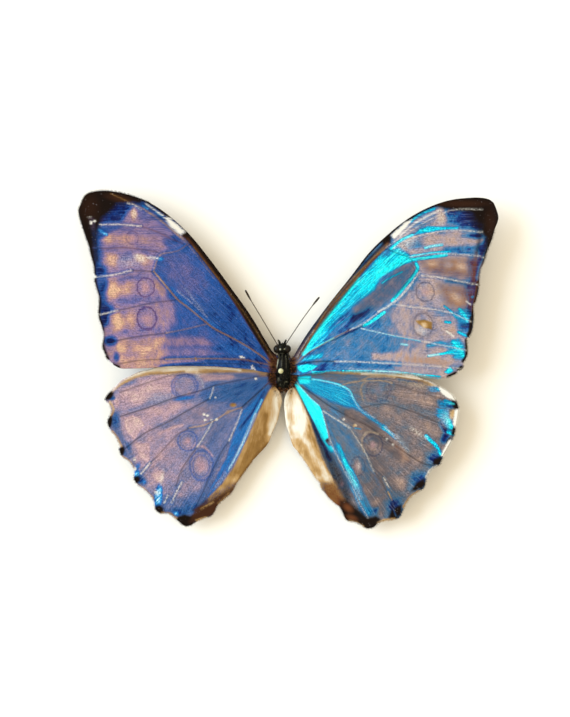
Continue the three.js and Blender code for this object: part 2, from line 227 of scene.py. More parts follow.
def painted(points, marks, veins, start):
    """Each layer's strength at each point, with the marks laid one over another, then the veins."""
    layers = {name: np.zeros(len(points)) for name in LAYERS}
    layers["tone"][:] = start
    for layer, laid in marks.items():
        for mask, strength in laid:
            layers[layer] += (strength - layers[layer]) * mask(points)
    x, y = points[:, 0], points[:, 1]
    patches = 0.5 + 0.5 * np.sin(0.9 * x + 0.3 * y) * np.sin(0.5 * x - 1.1 * y)
    for line, layer, strength in veins:
        away = to_segments(points, smooth_line(line, 2))
        # Painted shade: a deeper blue beside a raised vein that isn't dark.
        if layer != "dark":
            beside = np.clip(1 - np.abs(away - VEIN_EDGE_AWAY) / VEIN_EDGE_HALF, 0, 1)
            layers["tone"] += (VEIN_EDGE_TONE - layers["tone"]) * VEIN_EDGE * strength * beside
        kept = 1 - (layer == "pale") * VEIN_WEAR * patches
        layers[layer] += (strength - layers[layer]) * kept * np.clip(1 - away / VEIN_PAINT, 0, 1)
    return layers


def new_piece(name, verts, faces, material, smooth=True):
    """A mesh object from places in millimetres."""
    mesh = bpy.data.meshes.new(name)
    mesh.from_pydata([tuple(v) for v in np.asarray(verts, float) * MM], [], faces)
    mesh.polygons.foreach_set("use_smooth", [smooth] * len(mesh.polygons))
    if material:
        mesh.materials.append(material)
    piece = bpy.data.objects.new(name, mesh)
    bpy.context.scene.collection.objects.link(piece)
    mesh.update()
    return piece


def put_layer(mesh, name, values, kind="FLOAT"):
    layer = mesh.attributes.new(name, kind, "POINT")
    key = "value" if kind == "FLOAT" else "vector"
    layer.data.foreach_set(key, np.asarray(values, np.float32).ravel())


def out_from_body(x):
    return np.abs(x - (BODY_AXIS - MIDDLE[0]) * GRID)


def rise(out):
    return WING_RISE * (1 - np.exp(-np.maximum(0, out - THORAX_HALF_WIDTH) / RISE_LENGTH))


def forewing_height(x, y):
    return FOREWING_LEVEL + rise(out_from_body(x)) + FRONT_LIFT * np.maximum(0, y)


def forewing_flow(cell_end, slant):
    """Directions for the rows of scales: slanting in the cell, level beyond its end."""
    BLEND = (-4, 8)  # millimetres from the cell's end, towards the root

    def flow(points):
        x = (points[:, 0] - cell_end[0]) * GRID
        y = -(points[:, 1] - cell_end[1]) * GRID
        towards_root = x if cell_end[0] < BODY_AXIS else -x
        angle = math.radians(slant) * ease(*BLEND, towards_root)
        u = x * np.cos(angle) + y * np.sin(angle)
        v = y * np.cos(angle) - x * np.sin(angle)
        return np.stack([u, v, np.zeros(len(x))], 1)
    return flow


def fringe_scales(name, outline, carries, height, flow, marks, start, random):
    """Narrow scales that stand out from the margin, in the colours of the place they grow from.
    carries is the stretch of the outline that has them."""
    ROOT = 0.25  # how far inside the margin a scale begins
    LEAN = 0.25
    ABOVE_MIDDLE = 0.06
    LEVEL_SPREAD = 0.04
    TIP_DROP = (-0.1, 0.06)
    line = to_mm(smooth_line(outline[carries[0]:carries[1]], FRINGE_STEP / GRID))
    along = np.gradient(line, axis=0)
    along /= np.linalg.norm(along, axis=1)[:, None]
    out = np.stack([along[:, 1], -along[:, 0]], 1)
    if inside(line[:1] + ROOT * out[:1], to_mm(outline))[0]:
        out = -out
    roots = line - ROOT * out
    lean = random.normal(scale=LEAN, size=len(line))[:, None]
    outward = out * np.cos(lean) + along * np.sin(lean)
    reach = ROOT + random.uniform(*FRINGE_LENGTH, len(line))[:, None]
    across = 0.5 * FRINGE_WIDTH * np.stack([outward[:, 1], -outward[:, 0]], 1)
    level = height(roots[:, 0], roots[:, 1]) + ABOVE_MIDDLE
    level += random.uniform(-LEVEL_SPREAD, LEVEL_SPREAD, len(line))
    tip_level = level + random.uniform(*TIP_DROP, len(line))
    tips = roots + outward * reach
    corners = [(roots - across, level), (roots + across, level),
               (tips + 0.5 * across, tip_level), (tips - 0.5 * across, tip_level)]
    verts = np.stack([np.column_stack([flat, z]) for flat, z in corners], 1).reshape(-1, 3)
    faces = [(4 * i, 4 * i + 1, 4 * i + 2, 4 * i + 3) for i in range(len(line))]
    piece = new_piece(name, verts, faces, None, smooth=False)
    places = np.column_stack([roots[:, 0] / GRID + MIDDLE[0], MIDDLE[1] - roots[:, 1] / GRID])
    for layer_name, values in painted(places, marks, [], start).items():
        put_layer(piece.data, layer_name, np.repeat(values, 4))
    put_layer(piece.data, "flow", np.repeat(flow(places), 4, axis=0), "FLOAT_VECTOR")
    return piece


def wing_sheet(name, outline, veins, height, flow, marks, start, seed, carries):
    """A thin sheet inside the outline, with points along its margin and its veins, and its marks
    kept as layers on the points; and its fringe."""
    ROW_STEP = MESH_STEP * 0.87  # rows of even triangles
    SCATTER = 0.03
    CLEAR = MESH_STEP * 0.6  # how far loose points keep from the lines of points
    RIDGE_CLEAR = 0.15
    ABOVE_LEVEL = 0.06
    SAG = 0.16  # between two veins
    SAG_FROM_VEIN, SAG_FROM_EDGE = 3.2, 2
    WAVE = 0.05
    STILL = 4  # millimetres out from the body without waves, and as many until they are full
    ROOT_LENGTH = 12
    RELIEF_LENGTH = 30
    RIM_WIDTH = 1.2
    random = np.random.default_rng(seed)
    edge = to_mm(smooth_line(outline + outline[:1], MESH_STEP * 0.9 / GRID))[:-1]
    vein_lines = [to_mm(smooth_line(line, MESH_STEP / GRID)) for line, _, _ in veins]
    ridges = []
    for line in vein_lines:
        along = np.gradient(line, axis=0)
        across = np.stack([-along[:, 1], along[:, 0]], 1)
        across /= np.linalg.norm(across, axis=1)[:, None]
        ridges += [line, line + across * VEIN_HALF_WIDTH, line - across * VEIN_HALF_WIDTH]
    ridges = np.vstack(ridges)
    low, high = edge.min(0), edge.max(0)
    rows = np.arange(low[1], high[1], ROW_STEP)
    columns = np.arange(low[0], high[0], MESH_STEP)
    fill = np.stack(np.meshgrid(columns, rows), 2)
    fill[1::2, :, 0] += MESH_STEP / 2
    fill = fill.reshape(-1, 2) + random.uniform(-SCATTER, SCATTER, (fill.shape[0] * fill.shape[1], 2))
    ridges = ridges[inside(ridges, edge)]
    ridges = ridges[nearest(ridges, edge)[0] > RIDGE_CLEAR]
    fill = fill[inside(fill, edge)]
    fill = fill[nearest(fill, edge)[0] > CLEAR]
    fill = fill[nearest(fill, ridges)[0] > CLEAR]
    flat = np.vstack([edge, ridges, fill])
    rim = [(i, (i + 1) % len(edge)) for i in range(len(edge))]
    made = geometry.delaunay_2d_cdt([Vector(p) for p in flat], rim, [], 1, 1e-4)
    flat = np.array([tuple(v) for v in made[0]])
    upper = made[2]
    centre_lines = np.vstack([to_mm(smooth_line(line, 0.2)) for line, _, _ in veins])
    to_vein, _ = nearest(flat, centre_lines)
    to_edge, _ = nearest(flat, to_mm(smooth_line(outline + outline[:1], 0.4)))
    ridge = np.clip(1 - to_vein / VEIN_HALF_WIDTH, 0, 1)
    sag = SAG * ease(0, SAG_FROM_VEIN, to_vein) * ease(0, SAG_FROM_EDGE, to_edge)
    x, y = flat[:, 0], flat[:, 1]
    out = out_from_body(x)
    wave = WAVE * np.sin(x * 0.45 + seed) * np.sin(y * 0.38 + 2 * seed)
    middle = height(x, y) - sag + ABOVE_LEVEL + wave * ease(0, STILL, out - STILL)
    half = 0.5 * (SHEET + ROOT_SHEET * np.exp(-out / ROOT_LENGTH))
    relief = VEIN_RELIEF * ridge * (0.5 + 0.5 * np.exp(-out / RELIEF_LENGTH))
    top = np.column_stack([x, y, middle + half + relief])
    under = np.column_stack([x, y, middle - half - relief])
    count = len(flat)
    borders = dict.fromkeys((a, b) for face in upper for a, b in zip(face, face[1:] + face[:1]))
    rims = [(a, b) for a, b in borders if (b, a) not in borders]
    lower = [tuple(count + i for i in reversed(face)) for face in upper]
    sides = [(b, a, count + a, count + b) for a, b in rims]
    piece = new_piece(name, np.vstack([top, under]), upper + lower + sides, None)
    mesh = piece.data
    slots = [0] * len(upper) + [1] * (len(lower) + len(sides))
    mesh.polygons.foreach_set("material_index", slots)
    grid_places = np.column_stack([x / GRID + MIDDLE[0], MIDDLE[1] - y / GRID])
    layers = painted(grid_places, marks, veins, start)
    layers["vein"] = ridge
    layers["rim"] = 1 - ease(0, RIM_WIDTH, to_edge)
    for layer_name, values in layers.items():
        put_layer(mesh, layer_name, np.tile(values, 2))
    put_layer(mesh, "flow", np.tile(flow(grid_places), (2, 1)), "FLOAT_VECTOR")
    return piece, fringe_scales(f"{name}_fringe", outline, carries, height, flow, marks, start, random)


# Shader wiring
def feed(tree, socket, source):
    if isinstance(source, bpy.types.NodeSocket):
        tree.links.new(source, socket)
    elif isinstance(source, tuple) and len(source) == 3 and socket.type == "RGBA":
        socket.default_value = (*source, 1)
    else:
        socket.default_value = source


def calc(tree, operation, *sources, clamp=False):
    made = tree.nodes.new("ShaderNodeMath")
    made.operation = operation
    made.use_clamp = clamp
    for socket, source in zip(made.inputs, sources):
        feed(tree, socket, source)
    return made.outputs[0]


def over(tree, amount, below, above, mode="MIX"):
    """One colour laid over another."""
    made = tree.nodes.new("ShaderNodeMix")
    made.data_type = "RGBA"
    made.blend_type = mode
    feed(tree, made.inputs[0], amount)
    feed(tree, made.inputs[6], below)
    feed(tree, made.inputs[7], above)
    return made.outputs[2]


def stretch(tree, value, low, high, to_low=0.0, to_high=1.0):
    made = tree.nodes.new("ShaderNodeMapRange")
    made.interpolation_type = "SMOOTHSTEP"
    for socket, source in zip(made.inputs, (value, low, high, to_low, to_high)):
        feed(tree, socket, source)
    return made.outputs[0]


def noise(tree, vector, scale, detail=2.0, rough=0.5):
    made = tree.nodes.new("ShaderNodeTexNoise")
    feed(tree, made.inputs["Vector"], vector)
    feed(tree, made.inputs["Scale"], scale)
    feed(tree, made.inputs["Detail"], detail)
    feed(tree, made.inputs["Roughness"], rough)
    return made.outputs["Fac"]


def scaled(tree, vector, by):
    made = tree.nodes.new("ShaderNodeVectorMath")
    made.operation = "MULTIPLY"
    feed(tree, made.inputs[0], vector)
    made.inputs[1].default_value = by
    return made.outputs[0]


def layer(tree, name, output="Fac"):
    made = tree.nodes.new("ShaderNodeAttribute")
    made.attribute_name = name
    return made.outputs[output]


def ramp(tree, value, stops):
    made = tree.nodes.new("ShaderNodeValToRGB")
    feed(tree, made.inputs[0], value)
    band = made.color_ramp
    for place, _ in stops[2:]:
        band.elements.new(place)
    for element, (place, _) in zip(band.elements, stops):
        element.position = place
    for element, (_, colour) in zip(band.elements, stops):
        element.color = (*colour, 1)
    return made.outputs[0]


def place_in_mm(tree):
    return scaled(tree, tree.nodes.new("ShaderNodeTexCoord").outputs["Object"], (1000, 1000, 1000))


def roughen(tree, shader, height, strength, depth, hollow=False):
    """Relief on a surface, from a height."""
    made = tree.nodes.new("ShaderNodeBump")
    made.invert = hollow
    made.inputs["Strength"].default_value = strength
    made.inputs["Distance"].default_value = depth
    feed(tree, made.inputs["Height"], height)
    feed(tree, shader.inputs["Normal"], made.outputs[0])


def new_group(name, inputs, outputs):
    group = bpy.data.node_groups.new(name, "ShaderNodeTree")
    for socket, kind in inputs:
        group.interface.new_socket(socket, in_out="INPUT", socket_type=kind)
    for socket, kind in outputs:
        group.interface.new_socket(socket, in_out="OUTPUT", socket_type=kind)
    return group, group.nodes.new("NodeGroupInput"), group.nodes.new("NodeGroupOutput")


def place_group(tree, group, **sources):
    made = tree.nodes.new("ShaderNodeGroup")
    made.node_tree = group
    for name, source in sources.items():
        feed(tree, made.inputs[name.replace("_", " ")], source)
    return made


def new_material(name, shader_values):
    material = bpy.data.materials.new(name)
    material.use_nodes = True
    shader = material.node_tree.nodes["Principled BSDF"]
    for socket, value in shader_values.items():
        shader.inputs[socket].default_value = value
    return material, material.node_tree, shader


def light(r, g, b):
    """A shader colour from a colour's 0 to 255 numbers as they show under this light."""
    UNDER_THIS_LIGHT = (0.66, 0.69, 0.775)
    parts = [c / 255 for c in (r, g, b)]
    linear = [c / 12.92 if c <= 0.04045 else ((c + 0.055) / 1.055) ** 2.4 for c in parts]
    return tuple(share * c for share, c in zip(UNDER_THIS_LIGHT, linear))


def lit(*stops):
    """A ramp's stops, each from a place and a colour's 0 to 255 numbers."""
    return [(place, light(*colour)) for place, *colour in stops]


# Rows of scales, seen as grain, with streaks along the rows, soft mottling and worn flecks
scales, scales_in, scales_out = new_group(
    "rows_of_scales",
    [("Flow", "NodeSocketVector")],
    [("Grain", "NodeSocketFloat"), ("Streak", "NodeSocketFloat"),
     ("Mottle", "NodeSocketFloat"), ("Fleck", "NodeSocketFloat")],
)
flow_in = scales_in.outputs["Flow"]
cells = scales.nodes.new("ShaderNodeTexVoronoi")
feed(scales, cells.inputs["Vector"], scaled(scales, flow_in, (5, 9, 1)))
cells.inputs["Scale"].default_value = 1
one_scale = scales.nodes.new("ShaderNodeSeparateColor")
scales.links.new(cells.outputs["Color"], one_scale.inputs[0])
coarse = noise(scales, scaled(scales, flow_in, (2, 3.2, 1)), 1, 3)
grain = calc(scales, "MULTIPLY_ADD", one_scale.outputs[0], 0.4, calc(scales, "MULTIPLY", coarse, 0.6))
scales.links.new(grain, scales_out.inputs["Grain"])
streaks = noise(scales, scaled(scales, flow_in, (0.16, 3.4, 1)), 1, 4, 0.62)
scales.links.new(streaks, scales_out.inputs["Streak"])
mottle = noise(scales, scaled(scales, flow_in, (0.3, 0.34, 1)), 1, 4, 0.6)
scales.links.new(mottle, scales_out.inputs["Mottle"])
specks = noise(scales, scaled(scales, flow_in, (2.2, 2.6, 1)), 1, 1)
scales.links.new(stretch(scales, specks, 0.7, 0.8), scales_out.inputs["Fleck"])

# An eyespot's dark ring and warm core. Its place and radii are in millimetres.
eyespot, eyespot_in, eyespot_out = new_group(
    "eyespot",
    [("Centre", "NodeSocketVector"), ("Wide", "NodeSocketFloat"), ("High", "NodeSocketFloat")],
    [("Ring", "NodeSocketFloat"), ("Core", "NodeSocketFloat"), ("Field", "NodeSocketFloat")],
)
place = eyespot.nodes.new("ShaderNodeTexCoord").outputs["Object"]
in_mm = scaled(eyespot, place, (1000, 1000, 0))
offset = eyespot.nodes.new("ShaderNodeVectorMath")
offset.operation = "SUBTRACT"
eyespot.links.new(in_mm, offset.inputs[0])
eyespot.links.new(eyespot_in.outputs["Centre"], offset.inputs[1])
parts = eyespot.nodes.new("ShaderNodeSeparateXYZ")
eyespot.links.new(offset.outputs[0], parts.inputs[0])
across = calc(eyespot, "DIVIDE", parts.outputs["X"], eyespot_in.outputs["Wide"])
upward = calc(eyespot, "DIVIDE", parts.outputs["Y"], eyespot_in.outputs["High"])
squares = calc(
    eyespot, "ADD", calc(eyespot, "POWER", across, 2.0), calc(eyespot, "POWER", upward, 2.0),
)
away = calc(eyespot, "SQRT", squares)
wobble = calc(eyespot, "MULTIPLY_ADD", noise(eyespot, in_mm, 0.9, 3), 0.34, -0.17)
away = calc(eyespot, "ADD", away, wobble)
off_line = calc(eyespot, "ABSOLUTE", calc(eyespot, "SUBTRACT", away, 1.0))
eyespot.links.new(stretch(eyespot, off_line, 0.03, 0.15, 1.0, 0.0), eyespot_out.inputs["Ring"])
eyespot.links.new(stretch(eyespot, away, 0.1, 0.75, 1.0, 0.0), eyespot_out.inputs["Core"])
eyespot.links.new(stretch(eyespot, away, 0.9, 1.35, 1.0, 0.0), eyespot_out.inputs["Field"])


def ragged(tree, mask, texture, depth):
    """A mask whose middle values are broken up by a texture; none and full stay as they are."""
    room = calc(tree, "MULTIPLY", mask, calc(tree, "SUBTRACT", 1.0, mask))
    wiggle = calc(tree, "MULTIPLY", calc(tree, "SUBTRACT", texture, 0.5), 4 * depth)
    return calc(tree, "MULTIPLY_ADD", room, wiggle, mask, clamp=True)


def centre_of(spot):
    x, y = to_mm([spot[:2]])[0]
    return (float(x), float(y), 0.0)


def upper_face(name, tones, sheen_colours, spots, ring_colour, patchiness, glint_veil_share):
    """Tones that vary along the rows of scales, with the eyespots, then the bright blue with the
    painted sheen where the lamp catches the scales, a painted veil of silver glints along the rows,
    and the dark, gold and pale marks over them."""
    material, tree, shader = new_material(name, {"Specular IOR Level": 0.06})
    rows = place_group(tree, scales, Flow=layer(tree, "flow", "Vector"))
    grain, streak = rows.outputs["Grain"], rows.outputs["Streak"]
    mottle, fleck = rows.outputs["Mottle"], rows.outputs["Fleck"]
    off_streak = calc(tree, "SUBTRACT", streak, 0.5)
    tone = calc(tree, "MULTIPLY_ADD", calc(tree, "SUBTRACT", mottle, 0.5), patchiness, layer(tree, "tone"))
    tone = calc(tree, "MULTIPLY_ADD", off_streak, 0.4, tone)
    colour = ramp(tree, tone, tones)
    for spot in spots:
        wide, high, ring, core = spot[2:]
        made = place_group(tree, eyespot, Centre=centre_of(spot), Wide=wide * GRID, High=high * GRID)
        warm = calc(tree, "MULTIPLY", made.outputs["Core"], core)
        colour = over(tree, warm, colour, light(206, 156, 156))
        dark_ring = calc(tree, "MULTIPLY", made.outputs["Ring"], ring)
        colour = over(tree, dark_ring, colour, ring_colour)
    by_grain = calc(tree, "MULTIPLY_ADD", calc(tree, "SUBTRACT", grain, 0.5), 0.5, 1.0)
    by_rows = calc(tree, "MULTIPLY_ADD", off_streak, 2.6, by_grain)
    # Bright blue and painted sheen: the light the lamp throws back off the scales, painted into the colour.
    blue_and_painted_sheen = calc(tree, "MULTIPLY", layer(tree, "blue_and_painted_sheen"), by_rows)
    colour = over(tree, stretch(tree, blue_and_painted_sheen, 0.12, 0.45), colour, ramp(tree, blue_and_painted_sheen, sheen_colours))
    # Painted glints: a pale silver veil along the rows of scales, where the light catches them.
    painted_glint_veil = calc(tree, "MULTIPLY", stretch(tree, streak, 0.5, 0.75), glint_veil_share)
    colour = over(tree, painted_glint_veil, colour, light(196, 204, 220))
    shade = stretch(tree, grain, 0.25, 0.75, 0.58, 1.4)
    shades = tree.nodes.new("ShaderNodeCombineColor")
    for socket in shades.inputs:
        tree.links.new(shade, socket)
    colour = over(tree, 1.0, colour, shades.outputs[0], "MULTIPLY")
    dark = ragged(tree, layer(tree, "dark"), grain, 1.6)
    dark_colour = over(tree, layer(tree, "rust"), light(22, 11, 7), light(116, 66, 36))
    colour = over(tree, dark, colour, dark_colour)
    gold = ragged(tree, layer(tree, "gold"), grain, 1.6)
    golds = lit(
    (0, 118, 82, 40), (0.35, 164, 124, 68), (0.6, 208, 168, 110), (1, 250, 240, 215),
)
    colour = over(tree, gold, colour, ramp(tree, tone, golds))
    pale = ragged(tree, layer(tree, "pale"), grain, 2.0)
    colour = over(tree, pale, colour, light(252, 246, 230))
    speck = calc(tree, "MULTIPLY", fleck, calc(tree, "MULTIPLY_ADD", layer(tree, "vein"), 0.6, 0.3))
    colour = over(tree, speck, colour, light(236, 226, 226))
    feed(tree, shader.inputs["Base Color"], colour)
    roughen(tree, shader, calc(tree, "MULTIPLY_ADD", streak, 0.8, grain), 0.35, 0.00006)
    feed(tree, shader.inputs["Roughness"], stretch(tree, grain, 0.2, 0.8, 0.38, 0.56))
    glint = calc(tree, "SUBTRACT", 1.0, calc(tree, "MAXIMUM", dark, pale))
    feed(tree, shader.inputs["Metallic"], calc(tree, "MULTIPLY", glint, 0.3))
    return material


def lower_face(name, spots):
    """Brown and olive, mottled, with pale bands and the eyespots that show through above."""
    material, tree, shader = new_material(name, {"Roughness": 0.6, "Specular IOR Level": 0.12})
    rows = place_group(tree, scales, Flow=layer(tree, "flow", "Vector"))
    grain, mottle = rows.outputs["Grain"], rows.outputs["Mottle"]
    mixed = calc(tree, "MULTIPLY_ADD", grain, 0.35, calc(tree, "MULTIPLY", mottle, 0.65))
    browns = lit((0.3, 66, 46, 30), (0.52, 112, 84, 54), (0.7, 150, 124, 88))
    colour = ramp(tree, mixed, browns)
    warm = stretch(tree, layer(tree, "tone"), 0.7, 1.0, 0.0, 0.6)
    colour = over(tree, warm, colour, light(186, 158, 116))
    gold = calc(tree, "MULTIPLY", layer(tree, "gold"), 0.7)
    colour = over(tree, gold, colour, light(190, 160, 112))
    for spot in spots:
        centre, wide, high = centre_of(spot), spot[2] * GRID, spot[3] * GRID
        outer, middle, pupil = (
            place_group(tree, eyespot, Wide=wide * size, High=high * size, Centre=centre)
            for size in (1.05, 0.72, 0.2)
        )
        colour = over(tree, outer.outputs["Field"], colour, light(176, 134, 66))
        colour = over(tree, outer.outputs["Ring"], colour, light(46, 28, 20))
        colour = over(tree, middle.outputs["Field"], colour, light(26, 18, 16))
        colour = over(tree, pupil.outputs["Field"], colour, light(232, 228, 216))
    veins = calc(tree, "MULTIPLY", layer(tree, "vein"), 0.8)
    colour = over(tree, veins, colour, light(88, 60, 36))
    rim = ragged(tree, layer(tree, "rim"), grain, 1.0)
    colour = over(tree, rim, colour, light(40, 27, 20))
    feed(tree, shader.inputs["Base Color"], colour)
    roughen(tree, shader, grain, 0.4, 0.00006)
    return material


left_lower_band = [(166, 338), (204, 337), (212, 345), (165, 347)]
left_brown_field = [(105, 222), (150, 214), (184, 240), (150, 250), (105, 250)]
left_forewing_marks = dict(
    tone=[
        oval(0.5, 184, 274, 31, 17, 0.8, 48),
        area(0.32, [(176, 300), (206, 324), (225, 338), (214, 348), (160, 350), (160, 300)], 5),
        area(0.68, [(60, 180), (185, 236), (184, 243), (166, 250), (156, 262), (154, 271), (166, 289),
            (168, 299), (174, 303), (173, 318), (168, 333), (168, 340), (163, 352), (160, 375),
            (60, 380)], 4.5), area(0.38, [(160, 336), (205, 331), (222, 342), (205, 352), (165, 347)], 5),
        area(0.68, left_lower_band, 3),
        area(0.62, [(162, 348), (205, 348), (225, 354), (205, 357), (160, 357)], 3),
        oval(0.88, 160, 352, 7, 5), oval(0.82, 118, 300, 8, 6),
        area(0.82, [(150, 359), (205, 359.5), (200, 361.5), (176, 363), (150, 366)], 1.5),
        oval(0.6, 135, 233, 26, 4, 0.8, 4), oval(0.76, 152, 242, 16, 5, 0.7, 10),
        oval(0.36, 169, 243, 6, 4, 0.7, 40), oval(0.12, 176, 240, 5, 4, 0.7, 40),
        oval(0.84, 117, 239, 20, 5, 0.8), oval(0.94, 108, 238, 5, 3), oval(0.9, 125, 239, 5, 3.5),
        oval(0.62, 148, 219, 16, 6, 0.8, 28), oval(0.5, 143, 214, 5, 4, 0.9, 30),
        oval(0.74, 131, 217, 10, 6, 0.9, -40), oval(1, 134, 213, 3, 6, 0.9, -8),
        oval(0.6, 128, 256, 24, 7, 0.7), oval(0.8, 147, 265, 7, 5, 0.8), oval(0.96, 112, 260, 6, 7, 0.8),
        oval(0.95, 141, 258, 6, 4, 0.9, 20), oval(0.5, 130, 279, 18, 2.5, 0.8, -6),
        oval(0.86, 129, 288, 8, 8), oval(0.98, 114, 291, 7, 12, 0.8, -8), oval(0.74, 146, 288, 9, 9),
        oval(0.84, 159, 286, 5, 9, 0.9, -35), oval(0.52, 128, 300, 12, 4, 0.8, -8),
        oval(0.58, 152, 300, 10, 3, 0.8), oval(0.93, 131, 321, 6, 8), oval(1, 118, 322, 6, 12, 0.8, -12),
        oval(0.76, 163, 318, 10, 13), oval(0.62, 140, 331, 22, 3, 0.8, -6),
        area(0.9, [(118, 343), (165, 336), (166, 341), (160, 351), (158, 369), (117, 369)], 2.6),
        oval(0.98, 121, 350, 5, 8), oval(0.84, 143, 355, 18, 3), oval(0.8, 112, 352, 5, 7),
        oval(0.2, 117, 357, 2.5, 4),
        area(0.05, [(98, 219), (112, 203), (136, 203), (128, 212), (122, 222), (97, 224)], 3),
        area(0.12, [(97, 226), (122, 227), (112, 231), (106, 236), (96, 242)], 3),
        stroke(0.2, [(94, 236), (98, 250), (98, 266), (101, 280), (102, 300), (104, 322)], 4, 4),
        stroke(0.05, [(104, 306), (106, 312), (104, 322)], 3.4, 3), oval(0.06, 109, 309, 5, 4.5),
        oval(0.02, 111, 341, 6, 4.5, 0.6), oval(0.03, 102, 271, 5, 5, 0.8), oval(0.1, 104, 284, 4, 6, 0.8),
    ],
    dark=[
        area(0.12, left_lower_band, 3), area(0.1, left_brown_field, 6),
        oval(0.26, 160, 286, 3, 8, 0.9, -38), area(1, [(128, 186), (146, 199), (148, 206), (134, 203.5),
            (117, 205), (110, 213), (103, 219), (100.5, 226), (96, 241), (97, 258), (95, 275), (60, 275),
            (60, 180)], 3.4), stroke(1, [(94, 262), (96, 284), (100, 300), (99.5, 316), (103, 330),
            (103.5, 346), (107, 357)], 2, 1.6), stroke(1, [(106, 356), (108.5, 358.5)], 1.4, 0.8),
        stroke(1, [(113, 364), (119, 367)], 1.6, 0.8),
        stroke(1, [(146, 201), (158, 208.5), (168, 215.5)], 2, 1),
        stroke(0.4, [(144, 204), (156, 211), (163, 218)], 3, 2),
        stroke(1, [(184, 231), (200, 250), (232, 293), (262, 340), (276, 362)], 4.2, 0.8),
        stroke(1, [(170, 217.5), (180, 226), (190, 235)], 0.9, 0.6), oval(1, 186, 235, 6.5, 3.6, 0.4, 45),
        stroke(1, [(130, 195.5), (150, 203.5), (170, 217)], 1.3, 0.8),
        area(0, [(164, 217), (171, 219), (179, 226), (185, 232), (180.5, 235), (171, 227)], 1.2),
        stroke(0.84, [(92, 220), (95, 236), (96, 250), (97, 260)], 2, 2.4),
        oval(0.95, 274, 366, 5, 10, 0.6),
    ],
    rust=[
        area(1, left_lower_band, 3), area(1, left_brown_field, 6), oval(0.1, 90, 208, 8, 12),
        oval(0.2, 120, 199, 12, 3, 0.9, 12),
        stroke(0.4, [(188, 239), (200, 254), (230, 296), (256, 340), (272, 364)], 1, 1.2),
        oval(1, 270, 366, 9, 9, 0.6),
    ],
    gold=[
        stroke(0.6, [(146, 211), (160, 220), (172, 230), (181, 238)], 0.8, 0.9),
        stroke(0.45, [(180, 237), (190, 247), (202, 262), (214, 278)], 0.5, 0.6),
        oval(0.9, 196, 359, 1.2, 1.8, 0.5),
    ],
    pale=[
        oval(0.35, 134.5, 214, 2, 4, 0.9, -8), oval(0.14, 128, 262, 12, 5),
        oval(0.5, 140, 258, 5, 3, 0.9, 20), oval(0.35, 151, 258, 5, 1.6),
        stroke(0.3, [(128, 203.5), (136, 206), (141, 210)], 0.8, 0.8),
        stroke(0.5, [(146, 204), (156, 211), (163, 216)], 0.7, 0.7),
        area(1, [(164, 217), (171, 219), (179, 226), (185, 232), (180.5, 235), (171, 227)], 2),
        oval(0.95, 91.5, 223, 1.4, 1.6, 0.5), oval(0.9, 95, 221.5, 1.4, 1, 0.5),
        oval(0.35, 90, 217.5, 2, 0.7, 0.6), oval(0.5, 156, 258.5, 2.4, 1.2, 0.6),
        stroke(0.12, [(186, 289), (194, 300), (203, 311)], 0.9, 1.4),
        area(0.55, [(251, 367), (252.5, 364.8), (255.5, 370.5), (252, 370)], 0.7),
        oval(0.85, 242, 357, 2.6, 0.9, 0.5, 15),
        stroke(0.5, [(240, 369.3), (248, 370), (256, 371)], 0.6, 0.5),
    ],
    # Bright blue, with painted sheen where the lamp catches the scales
    blue_and_painted_sheen=[
        stroke(0.55, [(143, 206), (148, 209)], 1.2, 1), stroke(0.55, [(156, 212), (164, 218)], 1.4, 1),
        stroke(0.62, [(99, 230), (107, 235)], 1.5, 1.2), oval(0.6, 160, 259, 4, 2.4, 0.8),
        stroke(0.3, [(258, 354), (238, 341), (216, 327), (200, 316), (180, 298), (172, 289)], 3, 3),
        stroke(0.2, [(262, 352), (246, 322), (230, 298), (214, 275)], 4, 4),
        area(0.26, [(215, 334), (262, 360), (230, 356), (218, 346)], 4),
        stroke(0.2, [(255, 366), (230, 363.5), (205, 363.5)], 1.6, 1.6),
    ],
)
